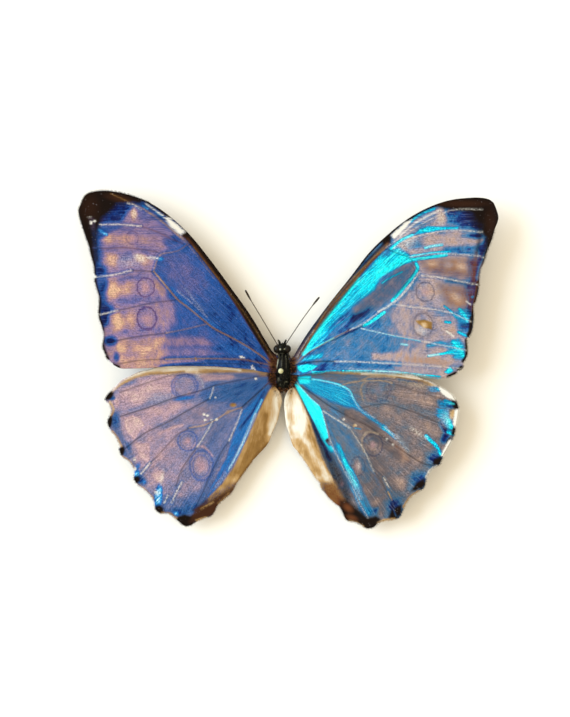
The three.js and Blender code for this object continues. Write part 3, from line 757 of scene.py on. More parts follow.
left_forewing = dict(
    outline=[
        (278, 356.5), (272, 351), (265, 339.5), (250, 314.5), (230, 286.5), (210, 259.5), (190, 235),
        (170, 216.5), (150, 203), (130, 195.5), (110, 191.5), (95, 192), (86, 195.5), (81.5, 204),
        (79.2, 212), (82, 224), (86, 236), (89.5, 246), (91.5, 255), (94.5, 266), (95.3, 274.5),
        (98.8, 277), (95.2, 279), (96, 284), (99.5, 296), (99.8, 300), (99.2, 316), (102, 325),
        (104.5, 335), (103.2, 344), (103.5, 349), (106.5, 355), (106.5, 357.5), (112.5, 362.5),
        (114, 365), (121, 368.3), (130, 368.6), (150, 368), (170, 366.2), (190, 366), (210, 366.3),
        (228.4, 367.4), (251.3, 369.7), (266.6, 372.4), (278, 371),
    ],
    veins=[
        ([(278, 367), (270, 363.3), (262, 356.4), (241, 342.7), (215, 329), (205.7, 322)], "gold", 1),
        ([(205.7, 322), (186.5, 306.3), (177, 298.8), (163.2, 282.4), (153.9, 271.4)], "gold", 0.9),
        ([(153.9, 271.4), (156.4, 263), (160.5, 255), (168.7, 252.9), (178.3, 250.8),
            (186.5, 245.3)], "gold", 0.4), ([(276, 362), (267.5, 349.5), (252.4, 325), (234.5, 299),
            (212.6, 271.4), (193.4, 246.7)], "gold", 0.3), ([(189.3, 244), (179.7, 235.7), (164.6, 223.4),
            (146.8, 211), (130.3, 202.8), (111, 194)], "gold", 0.45),
        ([(183.8, 244), (171.5, 239.2), (157.8, 232.3), (141.3, 226.4)], "dark", 0.5),
        ([(141.3, 226.4), (119.4, 224.8), (100.2, 225)], "pale", 0.62),
        ([(157.8, 252.2), (145.4, 250.1), (124.8, 247.8), (107, 248.8), (94, 248)], "dark", 0.5),
        ([(153.6, 271.7), (145.4, 271.1), (131.7, 270.7)], "dark", 0.55),
        ([(131.7, 270.7), (115.2, 274.8), (98.8, 277)], "pale", 0.62),
        ([(177, 299.5), (168.7, 301), (152.3, 302.9), (134.4, 307), (118, 310.5)], "dark", 0.5),
        ([(118, 310.5), (104.3, 313.9), (99.5, 315)], "pale", 0.6),
        ([(207, 324), (186.5, 329), (166, 333.1)], "gold", 0.42),
        ([(166, 333.1), (138.6, 336.5), (120.7, 340), (104, 344)], "dark", 0.55),
        ([(274, 366), (255.1, 361.9), (241.4, 359.4), (207, 358.5), (166, 359.1)], "gold", 0.7),
        ([(166, 359.1), (138.6, 360.5), (122, 363.3), (113, 364)], "dark", 0.5),
        ([(272, 369), (248, 364.6), (207, 363.3), (172.8, 366)], "dark", 0.45),
        ([(207.1, 316.6), (192, 303), (177, 290.6)], "pale", 0.2),
    ],
    carries=(8, 34),
    start=0.16,
    marks=left_forewing_marks,
)
left_forewing_spots = [
    (132.5, 238, 6, 6.5, 0.4, 0.75), (146, 287.5, 8.6, 9.4, 0.7, 0.7), (147, 318.5, 9.6, 11, 0.75, 0.6),
]

right_lower_band = [(404, 357), (440, 358), (452, 363), (448, 367), (405, 362)]
cell_front = (407, 243, 9, 5, 0.9, -30)
front_patch = [(391, 235.5), (404, 223.5), (412, 219.5), (407, 226.5), (394, 239.5)]
lower_eyespot_core = [(415, 320.5), (424, 319.5), (432, 322), (432, 330), (424, 328), (417, 323.5)]
right_forewing_marks = dict(
    tone=[
        area(0.16, [(300, 356), (340, 300), (366, 274), (372, 292), (352, 312), (330, 334)], 4),
        area(0.5, [(404, 262), (412, 262), (418, 274), (402, 292), (388, 303), (366, 318), (345, 330),
            (352, 306), (372, 290), (392, 274)], 4),
        area(0.04, [(338, 333), (352, 315), (372, 308), (366, 316)], 3), area(0.7, [(392, 236), (410, 222),
            (440, 208), (510, 190), (520, 400), (402, 378), (396, 340), (383, 320), (398, 303), (418, 280),
            (414, 262), (398, 250)], 5),
        area(0.36, [(330, 343), (362, 330), (398, 338), (410, 346), (372, 354), (330, 360)], 10),
        area(0.42, [(384, 318), (394, 306), (404, 308), (398, 318), (398, 334), (380, 330)], 4),
        area(0.78, [(372, 354), (404, 352), (452, 358), (450, 367), (400, 363), (372, 360)], 3),
        area(0.92, right_lower_band, 2),
        area(0.2, [(300, 364), (335, 363.5), (398, 366), (398, 371), (330, 370), (300, 374)], 1.5),
        stroke(0.44, [(338, 368), (362, 369.5), (396, 371)], 2, 2.4),
        area(0.68, [(393, 366), (445, 369), (453, 372), (440, 376), (396, 371)], 2),
        oval(0.5, 425, 222, 12, 5, 0.8, -20),
        area(0.06, [(444, 209), (484, 206), (484, 231), (462, 229), (448, 224)], 5),
        oval(0.14, 452, 214, 9, 4, 0.8), oval(0.9, 441, 217, 4, 7),
        area(0.5, [(400, 240), (420, 236), (426, 247), (405, 250)], 3), oval(0.86, *cell_front),
        oval(0.84, 452, 241, 24, 4.5, 0.9, 4), oval(0.06, 474, 236, 10, 3, 0.8),
        oval(0.2, 462, 250, 20, 4, 0.8, -4), oval(0.02, 481, 248, 4, 5, 0.8),
        oval(0.78, 447, 265, 26, 7, 0.8, 4), oval(1, 432, 263.5, 6, 3.5),
        oval(0.98, 460, 266, 8, 5, 0.9, 20), oval(0.6, 438, 272, 20, 2.6, 0.8, 8),
        oval(0.08, 473, 263, 5, 7, 0.8), oval(0.84, 433, 289, 5, 8), oval(1, 456, 298, 9, 6, 0.9, 40),
        oval(0.8, 460, 291, 9, 6, 0.9, 40), oval(0.04, 472, 288, 6, 12, 0.8),
        oval(0.76, 401, 318, 8, 11, 0.9, 20), oval(0.82, 454, 328, 8, 4, 0.9, 10),
        oval(0.58, 446, 314, 12, 5, 0.9, 20),
        stroke(0.03, [(486, 240), (481, 254), (474, 276), (472, 296), (469, 310), (470, 326)], 2.6, 2.4),
        oval(0.1, 463, 325, 6, 8, 0.8), stroke(0.2, [(446, 281), (460, 283), (474, 286)], 2, 4),
        area(0.3, lower_eyespot_core, 0.8), oval(0.7, 424, 325, 3.5, 2.5, 0.8, 30),
    ],
    dark=[
        area(0.6, [(418, 260), (478, 258), (474, 280), (444, 276), (426, 272)], 5),
        oval(0.12, 432, 263.5, 6, 3), oval(0.2, 448, 265, 4, 3), oval(0.1, 461, 266, 6, 4, 0.9, 20),
        area(0.6, [(438, 284), (476, 287), (471, 310), (446, 306)], 6), oval(0.12, 456, 298, 7, 4, 0.9, 40),
        area(0.1, [(404, 262), (412, 262), (420, 276), (404, 296)], 3), area(0.42, [(402, 264), (412, 264),
            (416, 274), (402, 290), (388, 301), (366, 316), (350, 326), (354, 308), (374, 290),
            (392, 274)], 4), area(0.14, right_lower_band, 2), area(1, [(446, 203), (470, 205), (472, 212),
            (478, 222), (479, 232), (484, 238), (484, 246), (481, 262), (477, 284), (486, 292), (520, 240),
            (500, 180), (440, 186)], 3.6), oval(1, 480, 216, 10, 14),
        area(1, [(430, 205), (450, 197), (478, 196), (480, 214), (460, 212), (444, 209.5)], 2.4),
        stroke(0.86, [(480, 226), (479, 240), (476, 254), (474, 268), (473, 284)], 1.6, 3),
        stroke(0.66, [(448, 280), (460, 282), (472, 285)], 1, 3),
        stroke(1, [(477.5, 282), (475, 298), (472.5, 308), (472, 318)], 1.6, 1),
        stroke(1, [(471.5, 318), (470, 330), (468, 335)], 2, 1),
        stroke(1, [(466, 340), (466, 355), (462.5, 361)], 1.6, 1),
        stroke(1, [(461, 367), (458, 369.5)], 1.6, 0.8), stroke(1, [(455, 373), (448, 376.5)], 1.6, 0.8),
        stroke(1, [(410, 218), (425, 209.5), (440, 204), (462, 199.5)], 1.6, 1),
        stroke(1, [(292, 359), (310, 330), (350, 278), (372, 250), (392, 232), (412, 217)], 1.6, 0.8),
        stroke(0.85, [(294, 361), (312, 333), (352, 282), (374, 256), (388, 243)], 3, 1.2),
        stroke(1, [(303, 350), (320, 322), (345, 291), (360, 273), (380, 253)], 1, 0.8),
        oval(1, 386.5, 240, 6, 3.8, 0.4, -45), area(0, front_patch, 1),
        stroke(0.7, [(411, 265), (414, 272), (404, 286), (394, 298)], 0.5, 0.5),
        oval(0.95, 291.5, 366, 4, 9, 0.7),
    ],
    rust=[
        area(1, [(414, 257), (480, 255), (476, 283), (440, 278), (424, 276)], 4),
        area(1, [(438, 284), (476, 287), (471, 310), (446, 306)], 4), area(0.7, right_lower_band, 2),
        oval(0.16, 462, 204, 22, 3), oval(0.1, 490, 222, 5, 12),
        stroke(0.6, [(293, 362), (312, 334), (352, 283), (388, 244)], 1.6, 1.6),
    ],
    gold=[
        oval(0.12, 432.5, 264, 3.4, 1.8), oval(0.14, 460, 267, 3.6, 2.6, 0.9, 20),
        oval(0.14, 455.5, 297.5, 4.4, 2.4, 0.9, 45),
        stroke(0.4, [(330, 307), (352, 283.5), (372, 259), (387, 244)], 0.6, 0.7),
        area(1, lower_eyespot_core, 0.8),
    ],
    pale=[
        stroke(0.16, [(350, 370), (372, 371), (396, 372)], 1.2, 1.6), oval(0.3, 441, 219, 2.6, 5),
        oval(0.24, *cell_front), stroke(0.26, [(296, 358), (306, 342), (314, 330)], 0.4, 0.5),
        area(1, front_patch, 1), stroke(0.6, [(398, 238), (414, 224), (430, 215), (440, 210.5)], 0.8, 0.7),
        stroke(0.3, [(425, 247.5), (442, 244.5)], 1, 1),
        stroke(0.55, [(412, 283), (402, 295), (392, 303.5), (378, 312)], 0.9, 0.8),
        stroke(0.4, [(375, 371), (400, 372.5), (425, 375.5)], 0.7, 0.6),
        stroke(0.75, [(446, 331), (453, 336)], 0.8, 0.7), stroke(0.5, [(427, 356), (438, 354.5)], 1, 0.9),
        stroke(0.35, [(401, 344), (407, 345)], 1, 0.9), stroke(0.5, [(466, 301.5), (470, 304.5)], 0.7, 0.6),
        oval(0.25, 421, 331, 6, 3.4, 0.8, 30),
    ],
    # Painted cyan sheen where the lamp catches the scales, over bright blue
    blue_and_painted_sheen=[
        area(0.3, [(400, 242), (418, 238), (424, 248), (408, 252)], 4),
        stroke(0.6, [(410, 222), (420, 214.5), (434, 209)], 1.6, 1.4), area(0.64, [(303, 355), (314, 333),
            (336, 304), (352, 288), (368, 278), (374, 288), (354, 306), (336, 322), (322, 344)], 5),
        stroke(1, [(304, 353), (318, 332), (334, 308), (346, 293), (357, 279)], 2.9, 1),
        stroke(0.5, [(318, 346), (334, 328), (352, 316)], 0.8, 0.8), area(0.8, [(356, 284), (366, 268),
            (384, 252), (398, 247), (410, 256), (398, 266), (382, 275), (374, 290), (362, 297)], 4),
        area(1, [(374, 280), (378, 268), (392, 262), (404, 256), (412, 258), (410, 262), (396, 268),
            (384, 275)], 2), oval(0.34, 368, 266, 6, 4, 0.8, -40), oval(0.3, 387, 253, 5, 3, 0.8, -40),
        stroke(0.95, [(398, 262), (412, 260), (430, 257.5), (446, 255)], 1.6, 1.6),
        stroke(0.8, [(412, 256), (432, 253), (450, 251.5)], 1, 0.9), area(0.8, [(411, 236), (420, 229),
            (428, 226.5), (440, 227), (458, 227), (458, 230), (440, 230.5), (424, 233.5)], 2.4),
        stroke(0.9, [(391, 249), (400, 241), (412, 235)], 1.4, 1),
        stroke(0.8, [(425, 248), (434, 246), (442, 245)], 1.3, 0.9),
        stroke(0.62, [(382, 283), (392, 277), (402, 272)], 1.2, 1),
        stroke(0.9, [(416, 264), (417, 270), (409, 281), (400, 292), (392, 301)], 1.7, 1.4),
        stroke(0.95, [(364, 325.5), (372, 321), (384, 312.5)], 1.7, 1),
        stroke(0.9, [(303, 354), (318, 346), (334, 338)], 0.8, 0.7),
        area(1, [(297, 366), (308, 364), (318, 365.5), (312, 370), (303, 373), (298, 370)], 1.2),
        area(0.66, [(298, 361), (312, 355), (324, 352), (322, 358), (308, 361)], 2.5),
        stroke(0.8, [(312, 372), (350, 370.8), (390, 371.5), (420, 374.5), (440, 376.5)], 0.8, 0.6),
        stroke(0.55, [(361, 328.5), (385, 334), (402, 338), (420, 341)], 0.8, 0.7),
        stroke(0.62, [(444, 306), (450, 311), (457, 318)], 1.2, 1.2), oval(0.5, 463, 316, 8, 9, 0.9, -30),
        stroke(0.85, [(459, 309), (464, 315), (467, 321)], 1, 1.4),
        stroke(0.7, [(445, 322), (450, 322.5)], 1.4, 1), stroke(0.6, [(458, 332), (466, 336)], 1.6, 1.4),
        area(0.58, [(450, 341), (458, 338), (465, 345), (465, 360), (455, 360), (447, 352)], 5),
        stroke(0.9, [(453, 342), (459, 348), (463, 356)], 1.4, 2),
        stroke(0.85, [(428, 356), (440, 354), (452, 352)], 1.2, 0.9),
        stroke(0.42, [(428, 346), (440, 343), (450, 347)], 3, 3),
        stroke(0.7, [(401, 344), (407, 345)], 1.2, 0.9),
        area(0.85, [(444, 372), (450, 366), (453, 371), (448, 374)], 1.4), oval(0.5, 472, 297, 2, 1.6, 0.8),
        oval(0.16, 420, 330, 6, 4, 0.8, 30),
    ],
)
right_forewing = dict(
    outline=[
        (289, 358.5), (293, 357), (300, 345), (309.7, 330), (330, 302.6), (350, 277.5),
        (369.8, 251.9), (390, 232.7), (409.3, 217.9), (430, 206.9), (450, 200.4), (470, 198.1),
        (480, 198.1), (486.9, 199.2), (490.8, 201.2), (493.8, 204.6), (497.7, 215.8),
        (496.9, 222.7), (494.2, 229.6), (490, 242.7), (486.2, 251.9), (483.5, 261.9),
        (479.6, 270.4), (478.5, 281.2), (477.7, 291.2), (475, 301.2), (472.7, 305.4),
        (472.9, 319.2), (471.2, 331.5), (468.5, 336.2), (466.2, 339.2), (466.9, 349.2),
        (466.5, 355.4), (463.1, 362.3), (462.3, 367.7), (457.7, 370.4), (455.4, 373.5),
        (448.5, 376.5), (443.8, 377.5), (436.2, 377.7), (420.8, 375.4), (405.4, 373.1),
        (390, 373.1), (359.5, 371.4), (329.7, 371.4), (309.8, 373.6), (299, 375), (289, 373),
    ],
    veins=[
        ([(289, 366), (296.9, 362.8), (307.8, 353.2), (331, 339.5), (350, 330)], "gold", 0.7), ([(350, 330),
            (364, 323), (378, 313), (392.2, 303.8), (407.9, 287.4), (418.9, 272.3)], "pale", 0.55),
        ([(418.9, 272.3), (413.4, 264), (409.3, 257.9), (399.7, 254.4), (386, 249)], "dark", 0.5),
        ([(292, 362), (299.6, 357), (331, 303.8), (366.8, 264), (386, 247.6)], "gold", 0.5),
        ([(386, 247.6), (406.6, 233.9), (427, 221.5), (451.8, 210.6), (482, 209.8)], "pale", 0.36),
        ([(392.8, 249), (405, 241), (421.6, 235.2), (453.2, 230.4), (482, 232.5)], "pale", 0.45),
        ([(409.3, 257.2), (434, 253.8), (473.7, 255.8), (484, 258)], "pale", 0.36),
        ([(421.6, 275.7), (440.8, 277.8), (458, 281.2), (478, 285)], "pale", 0.5),
        ([(392.2, 303.8), (407.9, 306.6), (427, 308.6), (451.8, 313.4), (471, 322)], "pale", 0.42),
        ([(361.3, 328.5), (386, 334), (406.6, 338), (427, 342.2), (466, 350.4)], "pale", 0.42),
        ([(291, 367), (298, 364), (317.4, 361.4), (335, 361.3)], "dark", 0.8),
        ([(335, 361.3), (355.8, 361.7), (399.7, 363.9)], "pale", 0.62),
        ([(399.7, 363.9), (440.8, 366.9), (461, 368.5)], "pale", 0.36),
        ([(331, 341), (352, 331.5), (364, 325)], "dark", 0.6),
    ],
    carries=(18, 47),
    start=0.3,
    marks=right_forewing_marks,
)
right_forewing_spots = [
    (425, 292, 9, 9.5, 0.5, 0.35), (423, 325, 10, 11.4, 0.5, 0), (423, 325, 12.5, 13.5, 0.2, 0),
]

# The right forewing's tones and the right wings' sheen colours are lighter and cyaner than the left ones:
# painted light, for the sheen the lamp raises on the right wings, which tilt towards it.
LEFT_TONES = lit(
    (0.0, 10, 26, 84), (0.07, 16, 46, 114), (0.14, 30, 80, 152), (0.3, 54, 92, 164), (0.45, 84, 96, 158),
    (0.58, 112, 108, 162), (0.7, 154, 129, 166), (0.82, 176, 140, 150), (0.92, 206, 158, 142),
    (1.0, 232, 188, 154),
)
RIGHT_TONES = lit(
    (0.0, 16, 26, 84), (0.12, 24, 60, 130), (0.25, 42, 120, 176), (0.4, 84, 130, 172),
    (0.55, 128, 134, 162), (0.68, 170, 156, 166), (0.8, 186, 164, 160), (0.9, 194, 162, 146),
    (1.0, 200, 158, 130),
)
LEFT_SHEEN_COLOURS = lit(
    (0.15, 28, 88, 172), (0.5, 34, 124, 204), (0.8, 96, 200, 250), (1.0, 200, 236, 255),
)
RIGHT_SHEEN_COLOURS = lit(
    (0.15, 24, 106, 162), (0.45, 16, 146, 196), (0.75, 10, 225, 245), (1.0, 30, 255, 255),
)
# The second number is how strong the painted silver glints are.
LEFT_PATCHES = (0.6, 0.12)  # how mottled the tones are, and how silvery the rows of scales
RIGHT_PATCHES = (0.91, 0.26)

left_upper = upper_face(
    "left_forewing_scales", LEFT_TONES, LEFT_SHEEN_COLOURS, left_forewing_spots, light(84, 58, 116), *LEFT_PATCHES,
)
left_lower = lower_face("left_forewing_underside", left_forewing_spots)
right_upper = upper_face(
    "right_forewing_scales", RIGHT_TONES, RIGHT_SHEEN_COLOURS, right_forewing_spots, light(60, 62, 92),
    *RIGHT_PATCHES,
)
right_lower = lower_face("right_forewing_underside", right_forewing_spots)
for side, values, faces, cell_end, slant, seed in (
    ("left", left_forewing, (left_upper, left_lower), (158, 265), -42, 1),
    ("right", right_forewing, (right_upper, right_lower), (414, 266), 42, 2),
):
    flow = forewing_flow(cell_end, slant)
    wing, fringe = wing_sheet(f"{side}_forewing", height=forewing_height, flow=flow, seed=seed, **values)
    for face in faces:
        wing.data.materials.append(face)
    fringe.data.materials.append(faces[0])
    for piece in (wing, fringe):
        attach(piece, "root")
    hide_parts(f"forewing_{side}")


# Hindwings
# They are sheets like the forewings, partly under them, with scalloped margins that carry black
# tips and a pale fringe. The inner margins are bare cream and gold, and turn down beside the body.
BODY_END = (MIDDLE[1] - 389) * GRID


def hindwing_height(x, y):
    """Under the forewing, lower to the rear, with the inner margin folded down beside the body."""
    ROOT_LEVEL, RISE_SHARE, REAR_SLOPE = 4.1, 0.9, 0.03
    FOLD_DEPTH, FOLD_WIDTH, FOLD_START = 1.4, 3, 5
    out = out_from_body(x)
    behind = np.maximum(0, BODY_END - y)
    fold = FOLD_DEPTH * np.exp(-out / FOLD_WIDTH) * np.minimum(1, behind / FOLD_START)
    return ROOT_LEVEL + RISE_SHARE * rise(out) - REAR_SLOPE * behind - fold


def hindwing_flow(root):
    """The rows of scales spread from the wing's root."""
    ROW_SPREAD = 30

    def flow(points):
        x = np.abs(points[:, 0] - root[0]) * GRID
        y = (points[:, 1] - root[1]) * GRID
        return np.stack([np.hypot(x, y), ROW_SPREAD * np.arctan2(y, x), np.zeros(len(x))], 1)
    return flow


left_hindwing_marks = dict(
    tone=[
        area(0.2, [(275, 374), (236, 381), (212, 384), (200, 396), (208, 404), (240, 406), (252, 412),
            (238, 440), (216, 490), (240, 480), (275, 400)], 6),
        area(0.13, [(268, 380), (236, 384), (222, 392), (236, 402), (252, 392)], 5), area(0.42, [(228, 404),
            (216, 402), (206, 412), (216, 420), (238, 416), (228, 440), (212, 466), (200, 452),
            (212, 430)], 5), area(0.3, [(222, 380), (206, 384), (202, 395), (214, 396)], 3),
        area(0.74, [(118, 384), (168, 372), (178, 376), (172, 396), (142, 404), (118, 412)], 4),
        oval(0.46, 129, 383, 8, 3, 0.8, -25), oval(0.84, 155, 381, 14, 5, 0.8, -8),
        oval(0.88, 152, 388, 14, 3, 0.8, -8), oval(0.6, 158, 397, 12, 5, 0.8, -8),
        oval(0.9, 136, 397, 9, 8), oval(0.7, 122, 402, 6, 8), oval(0.88, 116, 403, 3, 4, 0.8),
        oval(0.74, 188, 405, 5, 3, 0.9, -20),
        area(0.69, [(112, 418), (142, 408), (172, 402), (184, 406), (172, 418), (125, 446)], 4),
        oval(0.82, 160, 410, 16, 5, 0.9, -12),
        area(0.62, [(186, 414), (205, 404), (212, 412), (210, 422), (192, 426), (180, 424)], 4),
        area(0.7, [(130, 446), (160, 428), (178, 432), (176, 448), (150, 472), (140, 476)], 4),
        area(0.66, [(142, 478), (160, 462), (176, 448), (182, 460), (176, 480), (164, 500)], 4),
        oval(0.66, 176, 466, 8, 12, 0.9, 30), oval(0.5, 190, 476, 6, 12, 0.9, 20),
        oval(0.68, 186, 488, 5, 9, 0.9, 20), oval(0.78, 181, 500, 5, 5),
        stroke(0.7, [(112, 402), (116, 413)], 2, 2),
        stroke(0.44, [(116, 414), (117, 430), (122, 441)], 3.4, 3), oval(0.04, 115, 420, 4, 6, 0.8),
        oval(0.06, 126, 449, 4, 6, 0.8), stroke(0.5, [(124, 445), (132, 460), (137, 472)], 2, 2.4),
        oval(0.05, 140, 480, 6, 4, 0.8, 30), oval(0.03, 163, 507, 6, 5, 0.8, 30),
        stroke(0.24, [(160, 504), (176, 506), (198, 500), (216, 486)], 7, 5), oval(0.5, 174, 503, 8, 5),
        stroke(0.06, [(176, 512), (186, 512), (196, 508)], 4, 3), oval(0.62, 184.5, 387, 9.5, 9.5, 0.5),
        area(0.93, [(125, 418), (133, 415.5), (141, 419), (144.5, 425), (139, 432), (134, 440), (129, 434),
            (125, 427)], 1.4),
        area(0.92, [(135, 444), (149, 443), (150, 450), (149, 464), (141, 458), (137, 450)], 1.6),
        area(0.9, [(151, 474), (158, 471), (164, 472), (162, 482), (157, 482)], 2),
        oval(0.6, 187.5, 441, 7, 8, 0.7), oval(0.7, 201, 466, 8, 10.5, 0.7),
        oval(0.5, 217, 482, 7, 6, 0.9, -40), stroke(0.76, [(195, 446), (204, 447), (212, 456)], 1.2, 1.2),
        stroke(0.36, [(224, 446), (214, 470), (206, 490)], 2.6, 2.6),
        stroke(0.86, [(160, 434), (172, 428), (182, 425)], 1.2, 1.2),
        area(0.78, [(196, 373), (226, 373), (240, 376), (228, 380), (204, 381)], 2),
        stroke(0.36, [(236, 375), (248, 375.5), (262, 376)], 2, 2), stroke(1, [(112, 391), (121, 381.5),
            (134, 375), (150, 370), (170, 367.5), (195, 367), (215, 367.5), (240, 370)], 1.3, 1.3),
        oval(1.0, 176, 369, 20, 3.2), stroke(0.4, [(200, 372), (214, 372.5), (236, 373)], 1.6, 1.8),
        stroke(0.42, [(150, 374), (168, 373), (184, 371.5)], 1, 1), oval(0.06, 112, 398, 3, 2, 0.6),
        stroke(0.02, [(264, 392), (254, 410), (240, 428)], 1.6, 1.6),
        stroke(0.5, [(226, 474), (216, 487), (208, 497)], 2.2, 2.2),
        area(0.5, [(274, 384), (286, 402), (264, 456), (225, 506), (218, 490), (262, 404)], 1.6),
        area(0.3, [(262, 430), (266, 450), (240, 482), (224, 494), (236, 468), (250, 440)], 4),
        stroke(0.46, [(262, 410), (254, 430), (242, 456), (230, 478)], 1.6, 1.8),
        stroke(0.3, [(266, 416), (262, 440), (248, 464)], 2.4, 2.2),
        stroke(0.12, [(268, 444), (256, 456), (244, 474), (230, 492)], 1.6, 1.4),
        oval(0.42, 234, 476, 4, 6, 0.9, 30), stroke(0.62, [(270, 392), (267, 410)], 2, 2),
        # The oval at 235, 479 is a painted highlight on the folded inner margin.
        oval(0.58, 235, 479, 4, 3, 0.9, -45), stroke(0.1, [(256, 458), (244, 474), (236, 486)], 1.6, 1.8),
        area(0.78, [(272, 390), (280, 390), (285, 404), (276, 430), (269, 442), (268, 424), (271, 408)], 3),
        stroke(1.0, [(276, 398), (276, 414), (270, 434)], 1.4, 1.6),
        stroke(0.72, [(280, 400), (279, 418), (272, 436)], 0.8, 0.8),
    ],
    dark=[
        area(0.12, [(190, 414), (207, 404), (212, 412), (210, 422), (192, 426)], 4),
        area(0.18, [(196, 373), (240, 373), (262, 376), (232, 380), (204, 381)], 3),
        stroke(0.45, [(174, 376.5), (184, 374), (193, 375.5)], 0.6, 0.6),
        oval(1, 109, 395.5, 6, 3.6, 0.3, -48), oval(1, 109.5, 422.5, 2.6, 8.5, 0.35, 12),
        oval(1, 121.5, 451.5, 3, 6, 0.35, 18), oval(1, 136, 480, 3.4, 5, 0.4, 40),
        oval(1, 159, 510, 5.5, 4.6, 0.4, 35), area(1, [(177, 517), (184, 514.5), (190, 516), (199, 510),
            (206, 506), (214, 498), (220, 499), (216, 512), (200, 522), (186, 530), (174, 522)], 1.4),
        area(0.9, [(192, 510), (204, 503), (213, 497), (216, 503), (206, 511), (196, 514)], 2),
        area(1, [(238, 482), (240, 486), (224, 506), (210, 520), (192, 524), (198, 508), (212, 496),
            (226, 487)], 5), stroke(0.3, [(282, 402), (278, 420), (272, 434), (268.5, 443)], 0.5, 0.6),
        stroke(0.45, [(268, 444), (252, 462), (244, 473), (236, 484)], 0.7, 0.8),
        stroke(0.8, [(222, 486), (214, 496), (204, 504)], 1.4, 1.6),
        stroke(0.6, [(262, 408), (249.5, 436), (236.5, 465), (224, 485)], 0.4, 0.7),
        stroke(0.5, [(269, 436), (267, 446), (264, 449)], 0.8, 0.8), oval(0.95, 273, 378, 4, 6, 0.7),
        oval(0.7, 234, 405.5, 0.9, 0.9, 0.5),
    ],
    rust=[
        area(0.4, [(194, 509), (206, 501), (214, 490), (222, 496), (218, 508), (204, 514),
            (192, 518)], 2.4),
        area(0.3, [(240, 484), (224, 504), (208, 520), (190, 522), (206, 500), (226, 484)], 4),
        oval(1, 269, 377, 8, 8, 0.7),
    ],
    gold=[
        area(0.9, [(112, 392), (120, 383), (134, 374), (150, 368), (170, 365), (240, 368), (266, 371),
            (262, 372.5), (238, 372.5), (214, 373), (197, 374), (184, 372.5), (168, 374.5), (150, 375),
            (136, 378), (122, 385)], 1.4), stroke(0.8, [(110, 402), (113.5, 409), (111.5, 415)], 1.2, 0.9),
        stroke(0.8, [(112, 431), (117, 437), (121.5, 446)], 1, 0.9),
        stroke(0.8, [(122, 456.5), (129, 461), (134.5, 469)], 1, 0.9),
        stroke(0.8, [(137.5, 484.5), (145, 490), (153, 498.5)], 1, 0.9),
        stroke(0.8, [(162, 512.8), (170, 513.5), (176, 518)], 1, 0.9), area(1, [(274, 384), (268, 392),
            (262, 404), (248.5, 436), (234.5, 466), (222, 484), (208, 498), (206, 520), (225, 506),
            (240, 484), (262, 456), (276, 430), (286, 402), (280, 388)], 1),
        area(0, [(234, 486), (240, 486), (224, 508), (210, 524), (190, 524), (200, 504), (220, 492)], 6),
        stroke(0.5, [(233, 489), (226, 497), (219, 504)], 1.2, 1.6),
        stroke(0.6, [(213, 502.5), (206, 506), (201, 509)], 0.8, 1.2),
        stroke(0.8, [(206, 517.5), (196, 520.5)], 0.8, 0.8), oval(0.8, 264, 373.5, 6, 2.6, 0.7),
        oval(1, 233, 405, 3.2, 2, 0.5), oval(0.7, 228, 412, 3, 1.4, 0.7, -40),
    ],
    pale=[
        oval(0.08, 158, 397, 12, 5, 0.9, -8), oval(0.4, 162, 478, 1.6, 6, 0.9, 12),
        oval(0.2, 198, 374, 3, 3), stroke(0.12, [(196, 376), (202, 381), (203, 388)], 0.9, 1),
        stroke(0.14, [(226, 474), (216, 487)], 1.6, 1.8),
        stroke(0.34, [(256, 414), (247, 433), (238, 452), (229, 470)], 1, 1.2),
        oval(0.7, 156, 492.5, 1.4, 2), oval(0.8, 134.5, 469, 1.6, 1.6, 0.6),
        oval(0.6, 134.5, 459.5, 1.4, 1.6, 0.6), oval(0.95, 204, 414.5, 1.3, 1.1, 0.5),
        oval(0.95, 207.5, 415.5, 1.3, 1.1, 0.5), oval(0.95, 205, 420, 1.2, 1.1, 0.5),
        oval(0.6, 211.5, 420, 1.2, 1, 0.5), oval(0.8, 216.5, 419.7, 1.4, 1.2, 0.5),
        oval(0.9, 255.8, 378.7, 1.2, 1.1, 0.5), oval(0.6, 215.5, 397.5, 0.8, 0.8, 0.5),
    ],
    # Bright blue, with painted sheen where the lamp catches the scales
    blue_and_painted_sheen=[
        area(0.4, [(262, 390), (268, 388), (258, 408), (244, 440), (232, 460), (216, 486), (208, 492),
            (226, 456), (240, 412), (250, 404)], 2.5),
        stroke(0.12, [(264, 392), (254, 410), (240, 428)], 1.3, 1.3),
        stroke(0.8, [(262, 400), (253, 418), (246, 436), (238, 453), (228, 471)], 1.3, 1.4),
        stroke(0.42, [(228, 471), (219, 484), (208, 497)], 1.6, 1.6), oval(0.16, 250, 396, 9, 4, 0.9, -45),
        oval(0.4, 185, 398, 14, 2.6, 0.8, -6), oval(0.24, 204, 392, 7, 5, 0.9, -35),
        oval(0.95, 158.5, 496, 3.4, 10, 0.9, 6), oval(0.8, 137, 474, 2.6, 4, 0.7),
        oval(0.35, 138, 466, 3, 6, 0.9, 20), oval(0.7, 176, 514, 3, 2.4, 0.8),
        oval(0.4, 144, 482, 3, 2, 0.8, 30),
    ],
)
